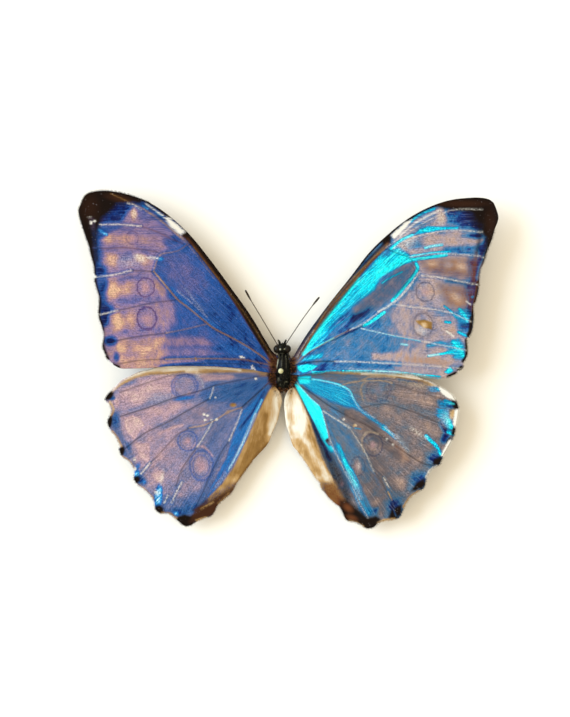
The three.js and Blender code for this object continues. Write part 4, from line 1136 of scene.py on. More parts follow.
left_hindwing = dict(
    outline=[
        (277.5, 373.6), (266, 371.5), (255, 366.5), (235, 359.5), (210, 356.5), (185, 358.5),
        (165, 363.5), (150, 369.5), (140, 371.5), (130, 376), (121, 381), (115, 387.5), (111, 391.5),
        (107, 396), (105.5, 400), (107.5, 401.5), (110.5, 406), (111.5, 413), (108, 420.5),
        (108.5, 425), (112.5, 432), (116, 436), (119.5, 443), (120.5, 446), (119.5, 450),
        (122.5, 456.5), (128, 460), (133, 466), (135, 474), (134, 478), (137, 483.5), (143, 488),
        (150, 494.5), (154.5, 502), (155.5, 509), (160, 513), (168, 513.2), (174.5, 517.5),
        (180, 522.5), (185, 526), (191, 525), (196.5, 521.5), (204, 518), (207.5, 517), (211, 516),
        (215.3, 510), (216, 507), (222, 500.5), (231, 493), (236, 484), (244, 472.5), (252, 461.5),
        (262, 451), (268.5, 443), (272, 434), (277.5, 421), (280.5, 408), (282, 400), (280, 392.5),
        (275.5, 387), (273.5, 383.5), (277.5, 382.5),
    ],
    veins=[
        ([(277, 376), (268, 375.5), (255, 377), (240, 380), (216, 385)], "dark", 0.5),
        ([(216, 385), (199.6, 390.8), (174, 397.8), (148.6, 407.4), (120.5, 416.3)], "dark", 0.6),
        ([(197, 368.5), (186, 372), (174, 374.2), (146, 383.2), (120.5, 392)], "dark", 0.45),
        ([(209.8, 398.5), (184.3, 412.5), (166.4, 422.7), (148.6, 431), (139.6, 436.7),
            (125.6, 448.2)], "dark", 0.6), ([(213.5, 387.5), (212, 393), (209.8, 398.5)], "pale", 0.5),
        ([(277, 380), (269.7, 382), (262, 389), (254.4, 395.9), (241.7, 407.4)], "dark", 0.8),
        ([(241.7, 407.4), (227.7, 412.5), (214.9, 420.2), (203.4, 425.3), (189.4, 427.8)], "gold", 0.6),
        ([(189.4, 427.8), (178, 434), (171.5, 440.6), (158, 455), (150, 463)], "dark", 0.45),
        ([(150, 463), (145.5, 468.5), (141, 473.7)], "pale", 0.7),
        ([(212.3, 422), (204.7, 435.5), (197, 446.9)], "pale", 0.58),
        ([(197, 446.9), (184.3, 464.8), (179.2, 475), (176, 486)], "dark", 0.5),
        ([(182, 482), (176, 493), (171.5, 503)], "pale", 0.62),
        ([(241.7, 410), (236.6, 424), (228.9, 441)], "pale", 0.55),
        ([(228.9, 441), (221.3, 452), (209.8, 475), (203.4, 490.3), (196, 506)], "dark", 0.42),
        ([(168, 495), (164, 503)], "pale", 0.6),
    ],
    carries=(11, 52),
    start=0.56,
    marks=left_hindwing_marks,
)
left_hindwing_spots = [
    (184.5, 386.5, 13, 12.2, 0.6, 0), (184.5, 386.5, 10.4, 10, 0.45, 0.15), (187.5, 441, 9.6, 10, 0.62, 0),
    (187.5, 441, 6.4, 7, 0.4, 0.6), (201.5, 465.5, 11.6, 15, 0.62, 0), (201, 466, 8.2, 10.8, 0.5, 0.5),
    (217, 482, 8, 10, 0.35, 0.1), (217, 482, 5, 7, 0.3, 0.4),
]

front_band = [(304, 373), (345, 374), (372, 378), (352, 382), (318, 379)]
margin_fleck = (452.5, 414, 2.4, 4.5, 0.6, 10)
right_hindwing_marks = dict(
    tone=[
        area(0.22, [(296, 376), (312, 378), (342, 385), (352, 396), (362, 411), (348, 410), (328, 403),
            (308, 392)], 3),
        area(0.5, [(304, 390), (326, 402), (350, 412), (372, 424), (366, 430), (322, 408)], 3),
        area(0.42, [(318, 410), (328, 413), (346, 426), (358, 444), (366, 462), (350, 470), (334, 448),
            (326, 432)], 4), area(0.46, front_band, 3),
        area(0.52, [(345, 384), (366, 382), (366, 402), (358, 404)], 3),
        area(0.6, [(366, 382), (396, 384), (396, 404), (372, 408)], 4),
        area(0.76, [(396, 382), (430, 386), (448, 400), (430, 410), (398, 404)], 5),
        area(0.72, [(372, 408), (402, 408), (440, 428), (440, 440), (420, 438), (396, 428)], 5),
        area(0.76, [(345, 412), (360, 416), (380, 430), (404, 446), (414, 464), (396, 458), (372, 440),
            (350, 424)], 3), area(0.86, [(392, 440), (402, 446), (410, 460), (404, 462)], 2),
        area(0.7, [(376, 436), (396, 456), (414, 470), (416, 478), (398, 500), (388, 494), (370, 456)], 4),
        oval(0.84, 356, 417, 8, 4, 0.9, 30), stroke(0.74, [(384, 442), (396, 452), (404, 466)], 3, 3),
        oval(0.6, 378, 389, 8, 8, 0.7), oval(0.88, 427, 402, 8, 5, 0.9, 10), oval(0.9, 430, 429, 7, 6),
        oval(0.96, 417, 457, 6, 8, 0.8), oval(0.94, 399, 483, 6, 6, 0.8), oval(0.84, 377, 503, 4, 5),
        oval(0.74, 372, 445, 6, 8, 0.7), oval(0.72, 358, 466, 5, 7, 0.7), oval(0.8, 342, 483, 5, 7, 0.7),
        oval(0.46, 366, 468, 4, 12, 0.9, -20), stroke(0.06, [(442, 424), (447, 432), (444, 440)], 3.4, 3),
        stroke(0.12, [(440, 402), (452, 406)], 3, 3), oval(0.1, 435, 460, 10, 7, 0.9, -30),
        oval(0.1, 418, 482, 9, 9, 0.9, -30), oval(0.08, 396, 508, 9, 11, 0.9, -20),
        area(0.12, [(360, 508), (378, 508), (378, 518), (362, 516)], 3),
        area(0.6, [(316, 369), (400, 368), (440, 387), (404, 379), (340, 374)], 2),
        area(0.3, [(394, 374), (428, 381), (430, 385), (398, 380)], 1.6),
        stroke(1.05, [(362, 374), (376, 373.4), (392, 374.8), (420, 379)], 0.9, 0.8),
        area(0.5, [(306, 416), (324, 440), (344, 476), (352, 500), (338, 498), (318, 450)], 3),
        stroke(0.06, [(310, 420), (319, 438), (330, 460)], 2, 2), oval(0.55, *margin_fleck),
        area(0.54, [(283, 388), (297, 390), (310, 417), (323, 457), (335, 482), (342, 502), (326, 500),
            (282, 430)], 1.8),
        area(0.88, [(284, 390), (297, 392), (305, 412), (308, 430), (298, 442), (286, 424)], 5),
        area(1.08, [(297, 396), (302, 406), (306, 424), (302, 434), (297, 426), (295, 406)], 3),
        stroke(1.1, [(286, 396), (285, 412), (289, 430), (294, 441)], 1.4, 1.4),
        stroke(0.7, [(291, 394), (291, 410), (293, 424)], 1.6, 1.8),
        stroke(0.64, [(290, 428), (296, 446), (306, 461), (318, 478)], 1.6, 2),
        stroke(0.78, [(304, 438), (314, 456), (324, 470)], 2.4, 2.6),
        stroke(0.5, [(298, 440), (308, 458), (320, 474)], 1.8, 2),
        # The oval at 327, 477 is a painted highlight on the folded inner margin.
        stroke(0.3, [(309, 426), (318, 450), (330, 474)], 1, 1.4), oval(0.94, 327, 477, 5.5, 4, 0.9, 50),
        area(0.2, [(320, 482), (334, 484), (342, 502), (338, 508), (326, 498)], 3),
    ],
    dark=[
        area(0.14, front_band, 3), area(0.34, [(338, 408), (352, 411), (372, 420), (390, 440), (410, 458),
            (412, 468), (392, 456), (368, 436), (350, 422)], 3),
        area(0.22, [(366, 446), (384, 458), (404, 500), (392, 518), (362, 508), (360, 470)], 7),
        oval(0.4, 342, 484, 9, 12, 0.7), oval(0.85, 327.4, 440.5, 1.6, 2, 0.7), stroke(0.95, [(294, 387),
            (301, 400), (308, 415), (316, 432), (325, 450), (331, 465), (336, 485)], 1.4, 1),
        area(0.7, [(309, 420), (315, 424), (325, 442), (334, 456), (342, 472), (352, 498), (348, 506),
            (338, 498), (328, 470), (318, 450), (310, 430)], 5), oval(1, 455, 405, 3, 5.5, 0.4, -25),
        oval(1, 453.5, 431, 1.8, 5.5, 0.4, 15), stroke(0.8, [(450, 438), (447, 441)], 1, 0.8),
        area(1, [(434, 459), (442, 455), (442, 461), (438, 466), (432, 465)], 1.6),
        area(1, [(416, 483), (424, 478), (426, 484), (421, 491), (411, 491)], 1.8),
        area(1, [(391, 510), (402, 504), (402, 514), (396, 520), (388, 519)], 1.8), area(1, [(346, 512),
            (360, 517), (368, 520), (376, 516), (381, 520), (376, 526), (370, 531), (345, 524)], 1.6),
        oval(0.6, 450.5, 412.5, 1.4, 4, 0.6, 10), stroke(0.4, [(294, 440), (296, 448)], 0.8, 0.8),
        area(1, [(322, 484), (334, 482), (344, 500), (338, 510), (326, 498)], 3), area(1, [(338, 496),
            (346, 499), (358, 509), (368, 517), (378, 518), (370, 533), (345, 526), (336, 508)], 3),
        oval(0.95, 292, 378, 3, 5, 0.7),
    ],
    rust=[
        area(0.7, [(390, 438), (402, 446), (412, 464), (404, 464)], 2),
        area(1, [(322, 482), (334, 482), (344, 500), (338, 510), (326, 498)], 3),
        area(0, [(340, 500), (356, 508), (382, 518), (370, 534), (342, 528)], 3),
        oval(0.9, 348, 508, 5, 3, 0.9, 40), oval(0.8, 352, 518, 5, 2.4, 0.9, 20),
        oval(1, 293.5, 375, 5, 4, 0.6),
    ],
    gold=[
        area(0.92, [(316, 370), (335, 364), (360, 362), (400, 368), (428, 381), (440, 387), (424, 385),
            (404, 379), (384, 376.5), (360, 374.5), (330, 373)], 1.2),
        stroke(0.5, [(362, 380.5), (370, 377), (382, 377)], 1, 1),
        stroke(0.4, [(363, 400), (361, 388), (366, 381)], 0.9, 1),
        stroke(0.35, [(364, 452), (362, 440), (368, 432), (378, 434)], 0.9, 1.1),
        oval(0.3, 416, 384, 12, 3, 0.9, 14), oval(1, *margin_fleck),
        stroke(0.9, [(419, 491.5), (411, 497), (404, 507)], 1.4, 1),
        stroke(0.9, [(394, 519.5), (384, 520.5), (378, 523.5)], 1.4, 1), area(1, [(283, 390), (291, 386),
            (295, 388), (302, 402), (309, 418), (314, 434), (322, 457), (329, 471), (334.5, 483),
            (341, 500), (338, 510), (326, 500), (300, 462), (280, 430), (280, 400)], 1.3),
        area(0.4, [(322, 484), (334, 482), (344, 500), (338, 510), (326, 498)], 4),
        area(0, [(338, 497), (346, 502), (382, 518), (370, 534), (344, 528), (335, 508)], 3),
        stroke(0.6, [(349, 520.6), (357, 523), (364, 526.6)], 0.6, 0.7),
        oval(0.9, 355, 425.5, 1.8, 1.3, 0.6),
    ],
    pale=[
        oval(0.28, 358.5, 466, 1.6, 3), stroke(0.3, [(297, 383), (310, 397.5), (319, 405.5)], 0.4, 0.5),
        stroke(0.1, [(322, 381), (340, 385.5), (350, 391.5), (354, 400)], 0.6, 0.6),
        stroke(0.12, [(348, 472), (355, 484), (360, 498)], 2.4, 2.4),
        stroke(0.3, [(385, 427), (396, 438)], 1, 1),
        stroke(0.18, [(396, 436), (402, 444), (408, 451)], 1.8, 1.8),
        stroke(0.25, [(411, 428), (418, 433), (426, 438)], 1.6, 1.6), oval(0.2, 446, 419, 5, 7, 0.9, 20),
        area(1, [(437, 385), (444, 388), (452, 394), (457, 401), (450, 399), (442, 394)], 1),
        # The next stroke is painted light: it lightens the front edge where a bright gap shows under the
        # forewing's margin, instead of its cast shade.
        stroke(0.7, [(404, 374.5), (418, 376.5), (438, 384)], 1.4, 1.6),
        area(1, [(455, 410), (460, 408), (458, 422), (455, 428), (453, 424)], 1),
        stroke(1, [(450, 441), (446, 448), (442.5, 455)], 1.3, 0.9),
        stroke(0.95, [(437, 467), (431, 470.5), (427, 477)], 1.5, 0.9), oval(0.6, 344, 419.5, 1.4, 1, 0.6),
        oval(0.6, 387, 439, 1.1, 1, 0.6), oval(0.6, 393, 444.5, 1.1, 1, 0.6),
    ],
    # Painted cyan sheen where the lamp catches the scales, over bright blue
    blue_and_painted_sheen=[
        area(1.1, [(293, 382), (297, 382), (302, 388), (311, 398.5), (319, 405), (322, 411), (324.5, 420),
            (327.5, 432), (328.5, 438), (324, 441), (319, 432), (313, 420), (306, 407), (300, 397)], 0.9),
        stroke(0.8, [(321, 436), (328, 447), (334, 455)], 1.2, 1.2),
        stroke(0.28, [(333, 452), (339, 464), (345, 478), (351, 490)], 4.5, 5), area(0.46, [(298, 378),
            (312, 379), (340, 384.5), (349, 390.5), (354, 400), (359, 408), (345, 407), (329, 401),
            (313, 393), (303, 385)], 2.4), oval(0.26, 335, 414, 7, 11, 0.9, -35),
        stroke(0.5, [(306, 380), (320, 388), (340, 396)], 4, 4),
        area(0.95, [(296, 377), (311, 376), (309, 383), (300, 384)], 1.6),
        stroke(0.8, [(312, 379), (325, 381), (340, 385), (350, 391), (354, 400), (360, 408)], 0.8, 0.7),
        stroke(0.34, [(328, 424), (333, 436), (339, 446)], 1.2, 1.8),
        stroke(0.8, [(339, 446), (345, 459), (350, 471)], 1.2, 2.6),
        stroke(0.72, [(350, 471), (356.5, 484), (361, 498), (368, 512)], 2.8, 3.4),
        stroke(0.5, [(337, 446), (343, 460), (348, 472), (354, 486), (359, 499)], 2, 4),
        stroke(0.82, [(344, 460), (349, 471), (355, 482), (359, 492)], 1, 1.4),
        oval(0.8, 330.6, 449, 3, 2.4, 0.9, 60),
        area(0.36, [(352, 488), (362, 486), (374, 510), (368, 520), (358, 510)], 5),
        stroke(0.4, [(352, 402), (362, 411), (374, 420), (384, 428)], 2.6, 2.4),
        stroke(0.65, [(384, 427), (390, 433), (396, 438)], 1.8, 2.2),
        stroke(0.24, [(396, 437), (402, 444), (408, 451)], 2.2, 2.2),
        stroke(0.22, [(366, 460), (374, 474), (380, 488)], 2.4, 2.4),
        area(0.66, [(440, 414), (447, 411), (451, 419), (454, 428), (449, 431), (443, 422)], 4),
        stroke(0.95, [(445, 414), (449, 421), (452, 428)], 0.9, 1.4), oval(0.5, 441, 413, 6, 6),
        stroke(0.8, [(448, 432), (453, 434)], 1.6, 1.2), stroke(0.7, [(433, 386), (439, 389.5)], 1.6, 1.2),
        stroke(0.8, [(445, 401), (454, 404)], 1.6, 1.2), oval(0.4, 444, 404, 6, 4),
        stroke(0.85, [(426, 436), (431, 441), (437, 447), (441, 455)], 1.7, 1.8),
        oval(0.35, 432, 389, 7, 4, 0.9, 30), stroke(0.5, [(355, 428), (361, 429)], 0.8, 0.7),
    ],
)
right_hindwing = dict(
    outline=[
        (289.5, 375.6), (298, 374.4), (312, 369.5), (335, 363), (360, 361), (385, 363.5),
        (405, 370), (420, 377.6), (430.8, 381.5), (440, 386.9), (450.8, 393.8), (455.4, 400),
        (458.3, 408.3), (458.3, 411.3), (456.7, 421.7), (454.6, 431.7), (453.3, 436.7), (449.2, 445),
        (443.3, 455.8), (440.8, 460.8), (439.2, 464.6), (431.3, 469.2), (426.3, 477.5), (425, 484.2),
        (423.3, 488.3), (419.2, 490.8), (410.8, 496.7), (404.6, 505.8), (401.7, 513.3),
        (399.2, 517.5), (394.2, 519.2), (384.2, 520.8), (378.3, 523), (374, 527), (370, 528.2),
        (366, 528), (359, 523.5), (354, 522), (348.5, 521), (345.5, 518.5), (343.3, 513.3),
        (340, 507), (336, 504), (330, 498.8), (324.2, 491.7), (321, 487), (320, 482.5), (315, 477),
        (305, 461), (298, 452), (293, 446), (289, 434), (286, 424), (284.5, 412), (284, 405),
        (285, 397), (288, 391), (292.5, 386.5), (289.5, 385),
    ],
    veins=[
        ([(290, 379), (296, 378.5), (312, 379)], "dark", 0.5), ([(312, 379), (324.8, 381.1), (340.9, 385.5),
            (349.6, 391), (354.6, 401), (360.8, 409.8), (374.5, 418)], "pale", 0.22),
        ([(340.9, 385.5), (351, 382.5), (362, 381.1), (380.7, 380.5), (392, 383)], "gold", 0.45),
        ([(392, 383), (412, 390), (436, 397), (454, 404)], "dark", 0.36),
        ([(360, 408), (384, 404), (406.8, 409.8), (430, 419), (452, 431)], "dark", 0.42), ([(294, 382),
            (312, 393.6), (329.7, 406), (349.6, 417.2), (369.5, 427), (392, 443), (420, 462),
            (436, 466)], "dark", 0.62), ([(322.9, 411), (350, 428)], "pale", 0.6),
        ([(350, 428), (358, 440.5), (365.5, 453), (374, 472)], "pale", 0.34),
        ([(374, 472), (380.7, 481), (389.4, 498), (396, 516)], "dark", 0.46),
        ([(371.8, 466), (386, 481), (403, 497), (420, 489)], "dark", 0.34),
        ([(384, 478), (389, 488)], "pale", 0.6),
        ([(322.4, 412), (324.6, 420), (327.6, 431), (331, 443)], "pale", 0.3),
        ([(331, 443), (343, 468), (352, 485.5), (359, 502), (368, 518)], "pale", 0.3),
        ([(388, 492), (392, 500)], "gold", 0.7),
    ],
    carries=(8, 50),
    start=0.66,
    marks=right_hindwing_marks,
)
right_hindwing_spots = [
    (378.6, 390, 12, 11.5, 0.4, 0), (378.6, 390, 8.4, 8, 0.25, 0.15), (373, 445, 9.6, 11, 0.5, 0),
    (373, 445, 5.5, 7, 0.3, 0.45), (358, 466.5, 7, 9.6, 0.45, 0.3), (342, 484, 7, 9.6, 0.4, 0.2),
    (342, 484, 3.6, 5, 0.3, 0.5),
]

LEFT_HIND_TONES = lit(
    (0.0, 14, 50, 124), (0.14, 50, 98, 156), (0.3, 80, 106, 160), (0.45, 108, 120, 164),
    (0.6, 146, 138, 168), (0.72, 178, 152, 170), (0.82, 198, 164, 172), (0.92, 214, 180, 180),
    (1.0, 230, 200, 190),
)
RIGHT_HIND_TONES = lit(
    (0.0, 18, 30, 84), (0.12, 24, 60, 124), (0.25, 50, 106, 150), (0.4, 84, 116, 144),
    (0.55, 104, 112, 124), (0.68, 122, 112, 114), (0.8, 142, 124, 120), (0.9, 162, 138, 126),
    (1.0, 188, 156, 136),
)
left_upper = upper_face(
    "left_hindwing_scales", LEFT_HIND_TONES, LEFT_SHEEN_COLOURS, left_hindwing_spots, light(50, 90, 166),
    *LEFT_PATCHES,
)
left_lower = lower_face("left_hindwing_underside", left_hindwing_spots)
right_upper = upper_face(
    "right_hindwing_scales", RIGHT_HIND_TONES, RIGHT_SHEEN_COLOURS, right_hindwing_spots, light(50, 62, 96),
    *RIGHT_PATCHES,
)
right_lower = lower_face("right_hindwing_underside", right_hindwing_spots)
for side, values, faces, root, seed in (
    ("left", left_hindwing, (left_upper, left_lower), (270, 375), 3),
    ("right", right_hindwing, (right_upper, right_lower), (294, 378), 4),
):
    flow = hindwing_flow(root)
    wing, fringe = wing_sheet(f"{side}_hindwing", height=hindwing_height, flow=flow, seed=seed, **values)
    for face in faces:
        wing.data.materials.append(face)
    fringe.data.materials.append(faces[0])
    for piece in (wing, fringe):
        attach(piece, "root")
    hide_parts(f"hindwing_{side}")


# Thorax
# A rounded box of hard black chitin, highest in the middle, with a plate over the front and a
# seam along it. It narrows to a short stub where the abdomen has come off. It stands for the body
# node together with the head, eyes and legs.
THORAX_HALF_HEIGHT = 3.5
THORAX_HEIGHT = 3.3
AXIS_X = (BODY_AXIS - MIDDLE[0]) * GRID
THORAX_STATIONS = [  # place along the body on the grid, share of the width and height, lift
    (352.6, 0.34, 0.3, 0.35), (355, 0.7, 0.62, 0.2), (359, 0.92, 0.88, 0.05), (364, 1, 0.99, 0),
    (370, 1, 1, 0), (376, 0.97, 0.95, -0.1), (381, 0.88, 0.84, -0.15), (385, 0.72, 0.66, -0.1),
    (388, 0.42, 0.36, -0.05),
]


def tube(path, wide, tall=None, sides=16):
    """A closed skin round a path, with its half width and half height at each point."""
    path = np.asarray(path, float)
    tall = wide if tall is None else tall
    along = np.gradient(path, axis=0)
    along /= np.linalg.norm(along, axis=1)[:, None]
    reference = np.where(np.abs(along[:, 2:]) > 0.9, (0.0, 1.0, 0.0), (0.0, 0.0, 1.0))
    across = np.cross(reference, along)
    across /= np.linalg.norm(across, axis=1)[:, None]
    up = np.cross(along, across)
    turn = np.linspace(0, 2 * np.pi, sides, endpoint=False)
    rings = (
        path[:, None]
        + across[:, None] * (np.asarray(wide)[:, None] * np.cos(turn))[..., None]
        + up[:, None] * (np.asarray(tall)[:, None] * np.sin(turn))[..., None]
    )
    verts = np.vstack([rings.reshape(-1, 3), path[:1], path[-1:]])
    start, end, last = len(verts) - 2, len(verts) - 1, len(path) - 1
    faces = []
    for i in range(sides):
        j = (i + 1) % sides
        rows = [(r * sides, (r + 1) * sides) for r in range(last)]
        faces += [(low + i, low + j, high + j, high + i) for low, high in rows]
        faces += [(start, j, i), (end, last * sides + i, last * sides + j)]
    return verts, faces


def together(parts):
    verts, faces, start = [], [], 0
    for part_verts, part_faces in parts:
        verts.append(part_verts)
        faces += [tuple(start + i for i in face) for face in part_faces]
        start += len(part_verts)
    return np.vstack(verts), faces


def pale_and_highlight_places(verts, marks):
    """How much pale marking and painted highlight each point shows: only the upper side has any."""
    places = np.column_stack([verts[:, 0] / GRID + MIDDLE[0], MIDDLE[1] - verts[:, 1] / GRID])
    pale_and_highlight = np.zeros(len(verts))
    for mask, strength in marks:
        pale_and_highlight = np.maximum(pale_and_highlight, strength * mask(places))
    return pale_and_highlight * (verts[:, 2] > THORAX_HEIGHT)


def thorax_section(y):
    """The thorax's half width, half height and middle height at a place along the body."""
    places = [(MIDDLE[1] - station[0]) * GRID for station in THORAX_STATIONS][::-1]
    wide, high, lift = (np.array([s[k] for s in THORAX_STATIONS])[::-1] for k in (1, 2, 3))
    return (
        THORAX_HALF_WIDTH * np.interp(y, places, wide),
        THORAX_HALF_HEIGHT * np.interp(y, places, high),
        THORAX_HEIGHT + np.interp(y, places, lift),
    )


def groove(away, half_width):
    return np.exp(-((away / half_width) ** 2))


stations = smooth_line([((MIDDLE[1] - s[0]) * GRID, *s[1:]) for s in THORAX_STATIONS], 0.16)
path = np.column_stack([
    np.full(len(stations), AXIS_X), stations[:, 0], THORAX_HEIGHT + stations[:, 3],
])
verts, faces = tube(path, THORAX_HALF_WIDTH * stations[:, 1], THORAX_HALF_HEIGHT * stations[:, 2], 56)
from_axis = np.abs(verts[:, 0] - AXIS_X)
upper_half = ease(THORAX_HEIGHT, THORAX_HEIGHT + 2, verts[:, 2])
seam = groove(from_axis, 0.16)
PLATE_HALF_WIDTH = 1.35
plate_edges = groove(from_axis - PLATE_HALF_WIDTH, 0.2)
collar = groove(verts[:, 1] - (MIDDLE[1] - 358.6) * GRID, 0.16)
rear_plate = groove(verts[:, 1] - (MIDDLE[1] - 379.5) * GRID, 0.2)
verts[:, 2] -= upper_half * (0.14 * seam + 0.16 * plate_edges + 0.2 * collar + 0.22 * rear_plate)
verts[:, 2] = np.maximum(verts[:, 2], 0)

chitin, tree, shader = new_material("black_chitin", {"Specular IOR Level": 0.08})
where = place_in_mm(tree)
cloudy = noise(tree, where, 1.3, 4, 0.6)
# Pale marks and painted highlight, from the layer put on the thorax and head.
pale_and_highlight = ragged(tree, layer(tree, "pale_and_highlight"), noise(tree, where, 5, 3, 0.6), 1.6)
# Fine pale olive streaks along the body: painted highlights on its ridges and hair.
fine = noise(tree, scaled(tree, where, (3, 0.8, 3)), 2.4, 3, 0.6)
colour = ramp(tree, cloudy, lit((0.35, 2, 2, 2), (0.6, 8, 8, 6), (0.75, 30, 29, 22)))
colour = over(tree, stretch(tree, fine, 0.6, 0.72, 0.0, 0.7), colour, light(104, 102, 80))
colour = over(tree, pale_and_highlight, colour, light(196, 192, 160))
feed(tree, shader.inputs["Base Color"], colour)
roughen(tree, shader, calc(tree, "ADD", fine, cloudy), 0.5, 0.0001)
feed(tree, shader.inputs["Roughness"], stretch(tree, cloudy, 0.3, 0.7, 0.24, 0.5))

thorax = new_piece("thorax", verts, faces, chitin)
# Painted highlight: the pale line along the thorax's left ridge, which faces the light, and the pale spot
# beside the pin; fainter pale streaks lie along the top.
put_layer(thorax.data, "pale_and_highlight", pale_and_highlight_places(verts, [
    stroke(0.9, [(278.8, 353), (278.4, 358), (277.4, 364), (276.6, 368)], 0.35, 0.5),
    stroke(0.16, [(282.4, 354), (282, 360), (281.8, 366)], 0.3, 0.5),
    stroke(0.14, [(285.4, 355), (286, 361), (286.2, 368)], 0.3, 0.5),
    stroke(0.2, [(288.8, 356), (289.8, 363)], 0.25, 0.4),
    oval(0.6, 278.6, 379.5, 0.9, 1.6, 0.6),
    oval(0.4, 286, 382, 1.6, 0.6, 0.6),
]))
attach(thorax, "root")
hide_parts("body")


# Head
# A small black capsule with two big ball eyes and a pair of hairy palps that stand up in front.
# A coiled tongue lies between the palps.
HEAD = np.array([(282.2 - MIDDLE[0]) * GRID, (MIDDLE[1] - 349) * GRID, 3.9])
EYE_RADIUS = 1.15
skull_stations = np.array([
    (343.4, 0.75, 0.65), (345, 1.3, 1.2), (348, 1.55, 1.45), (351, 1.4, 1.35), (353.8, 0.75, 0.8),
])
skull = smooth_line([((MIDDLE[1] - y) * GRID, w, h) for y, w, h in skull_stations], 0.14)
skull_path = np.column_stack([np.full(len(skull), HEAD[0]), skull[:, 0], np.full(len(skull), HEAD[2])])
parts = [tube(skull_path, skull[:, 1], skull[:, 2], 36)]
for side in (-1, 1):
    palp = smooth_line([
        (HEAD[0] + side * 0.45, 3.9, HEAD[2] - 0.6), (HEAD[0] + side * 0.75, 4.9, HEAD[2] - 0.2),
        (HEAD[0] + side * 0.95, 5.45, HEAD[2] + 0.35), (HEAD[0] + side * 1.02, 5.7, HEAD[2] + 0.75),
    ], 0.12)
    share = np.linspace(0, 1, len(palp))
    parts.append(tube(palp, 0.34 * (1 - 0.75 * share**2), sides=12))
TONGUE_TURNS = 2.5
TONGUE_STEPS = 60
turn = np.linspace(0, TONGUE_TURNS * 2 * np.pi, TONGUE_STEPS)
reach = 0.62 * (1 - 0.8 * turn / turn[-1])
tongue = np.column_stack([
    np.full(TONGUE_STEPS, HEAD[0]), 3.95 + reach * np.cos(turn), HEAD[2] - 1.1 + reach * np.sin(turn),
])
parts.append(tube(tongue, np.linspace(0.1, 0.05, TONGUE_STEPS), sides=8))
verts, faces = together(parts)
head = new_piece("head", verts, faces, chitin)
# Two small pale spots on top of the head and a faint pale line behind them.
put_layer(head.data, "pale_and_highlight", pale_and_highlight_places(verts, [
    oval(1, 280.1, 349.4, 0.8, 0.8, 0.6), oval(0.9, 284.7, 349, 0.7, 0.7, 0.6),
    stroke(0.3, [(279.4, 353.4), (284.6, 353.4)], 0.2, 0.4),
]))
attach(head, "root")
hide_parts("body")

facets, tree, shader = new_material("eye_facets", {"Roughness": 0.3, "Specular IOR Level": 0.16})
where = place_in_mm(tree)
lenses = tree.nodes.new("ShaderNodeTexVoronoi")
lenses.feature = "SMOOTH_F1"
feed(tree, lenses.inputs["Vector"], where)
lenses.inputs["Scale"].default_value = 14
colour = ramp(tree, noise(tree, where, 1.2, 3), lit((0.35, 6, 4, 3), (0.7, 30, 20, 13)))
feed(tree, shader.inputs["Base Color"], colour)
roughen(tree, shader, lenses.outputs["Distance"], 0.3, 0.00003, hollow=True)
EYE_OUT = 1.39
EYE_UP = 0.2
parts = []
ball = np.linspace(-1, 1, 21)
for side in (-1, 1):
    eye_path = np.column_stack([
        HEAD[0] + side * EYE_OUT + 0 * ball, HEAD[1] + EYE_RADIUS * 1.05 * np.sin(ball * np.pi / 2),
        HEAD[2] + EYE_UP + 0 * ball,
    ])
    parts.append(tube(eye_path, np.maximum(0.02, EYE_RADIUS * np.cos(ball * np.pi / 2)), sides=28))
eyes = new_piece("eyes", *together(parts), facets)
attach(eyes, "root")
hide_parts("body")


# Legs
# Four thin jointed legs fold down beside the thorax to the surface, and two tiny forelegs lie
# under the head. Each has a thick thigh, a spiny shin and a foot of short links with a claw.
def walking_leg(side, root, knee, ankle, claw):
    """Its root is a place along the body; knee, ankle and claw are seen from above."""
    HIP_OUT, HIP_HEIGHT, KNEE_HEIGHT, SHIN_HEIGHT = 1.5, 1.3, 2.2, 1.8
    ANKLE_HEIGHT, FOOT_HEIGHT = 0.5, 0.16
    shin_top = (knee[0] + 0.3, knee[1] + (ankle[1] - knee[1]) * 0.3)
    foot_start = (ankle[0] * 0.75 + claw[0] * 0.25, ankle[1] * 0.75 + claw[1] * 0.25)
    line = [
        (AXIS_X + side * HIP_OUT, root, HIP_HEIGHT), (AXIS_X + side * knee[0], knee[1], KNEE_HEIGHT),
        (AXIS_X + side * shin_top[0], shin_top[1], SHIN_HEIGHT),
        (AXIS_X + side * ankle[0], ankle[1], ANKLE_HEIGHT),
        (AXIS_X + side * foot_start[0], foot_start[1], FOOT_HEIGHT),
        (AXIS_X + side * claw[0], claw[1], FOOT_HEIGHT),
    ]
    line = smooth_line(line, 0.1)
    share = np.linspace(0, 1, len(line))
    foot_links = 0.02 * np.abs(np.sin(share * 40)) * (share > 0.7)
    thick = 0.36 - 0.22 * share + 0.05 * np.sin(share * 9) - foot_links
    line[:, 2] = np.maximum(line[:, 2], thick)
    made = [tube(line, thick, sides=10)]
    for k in range(int(len(line) * 0.4), len(line) - 3, 5):
        for lean in (-1, 1):
            spine = np.array([line[k], line[k] + (lean * 0.25, 0.12 * np.sign(claw[1] - root), 0.05)])
            spine[:, 2] = np.maximum(spine[:, 2], 0.06)
            made.append(tube(spine, np.array([0.05, 0.01]), sides=4))
    return made


parts = []
for side in (-1, 1):
    parts += walking_leg(side, -1.4, (4.3, -1.9), (5, 0.1), (4.5, 2.3))
    parts += walking_leg(side, -4.6, (3.9, -4.9), (4.5, -7.2), (3.3, -9.9))
    foreleg = smooth_line([
        (AXIS_X + side * 0.9, 0.6, 1.6), (AXIS_X + side * 1.3, 1.5, 1.7),
        (AXIS_X + side * 1.1, 2.7, 1.9), (AXIS_X + side * 0.7, 3.4, 2.2),
    ], 0.1)
    parts.append(tube(foreleg, np.linspace(0.38, 0.15, len(foreleg)), sides=10))

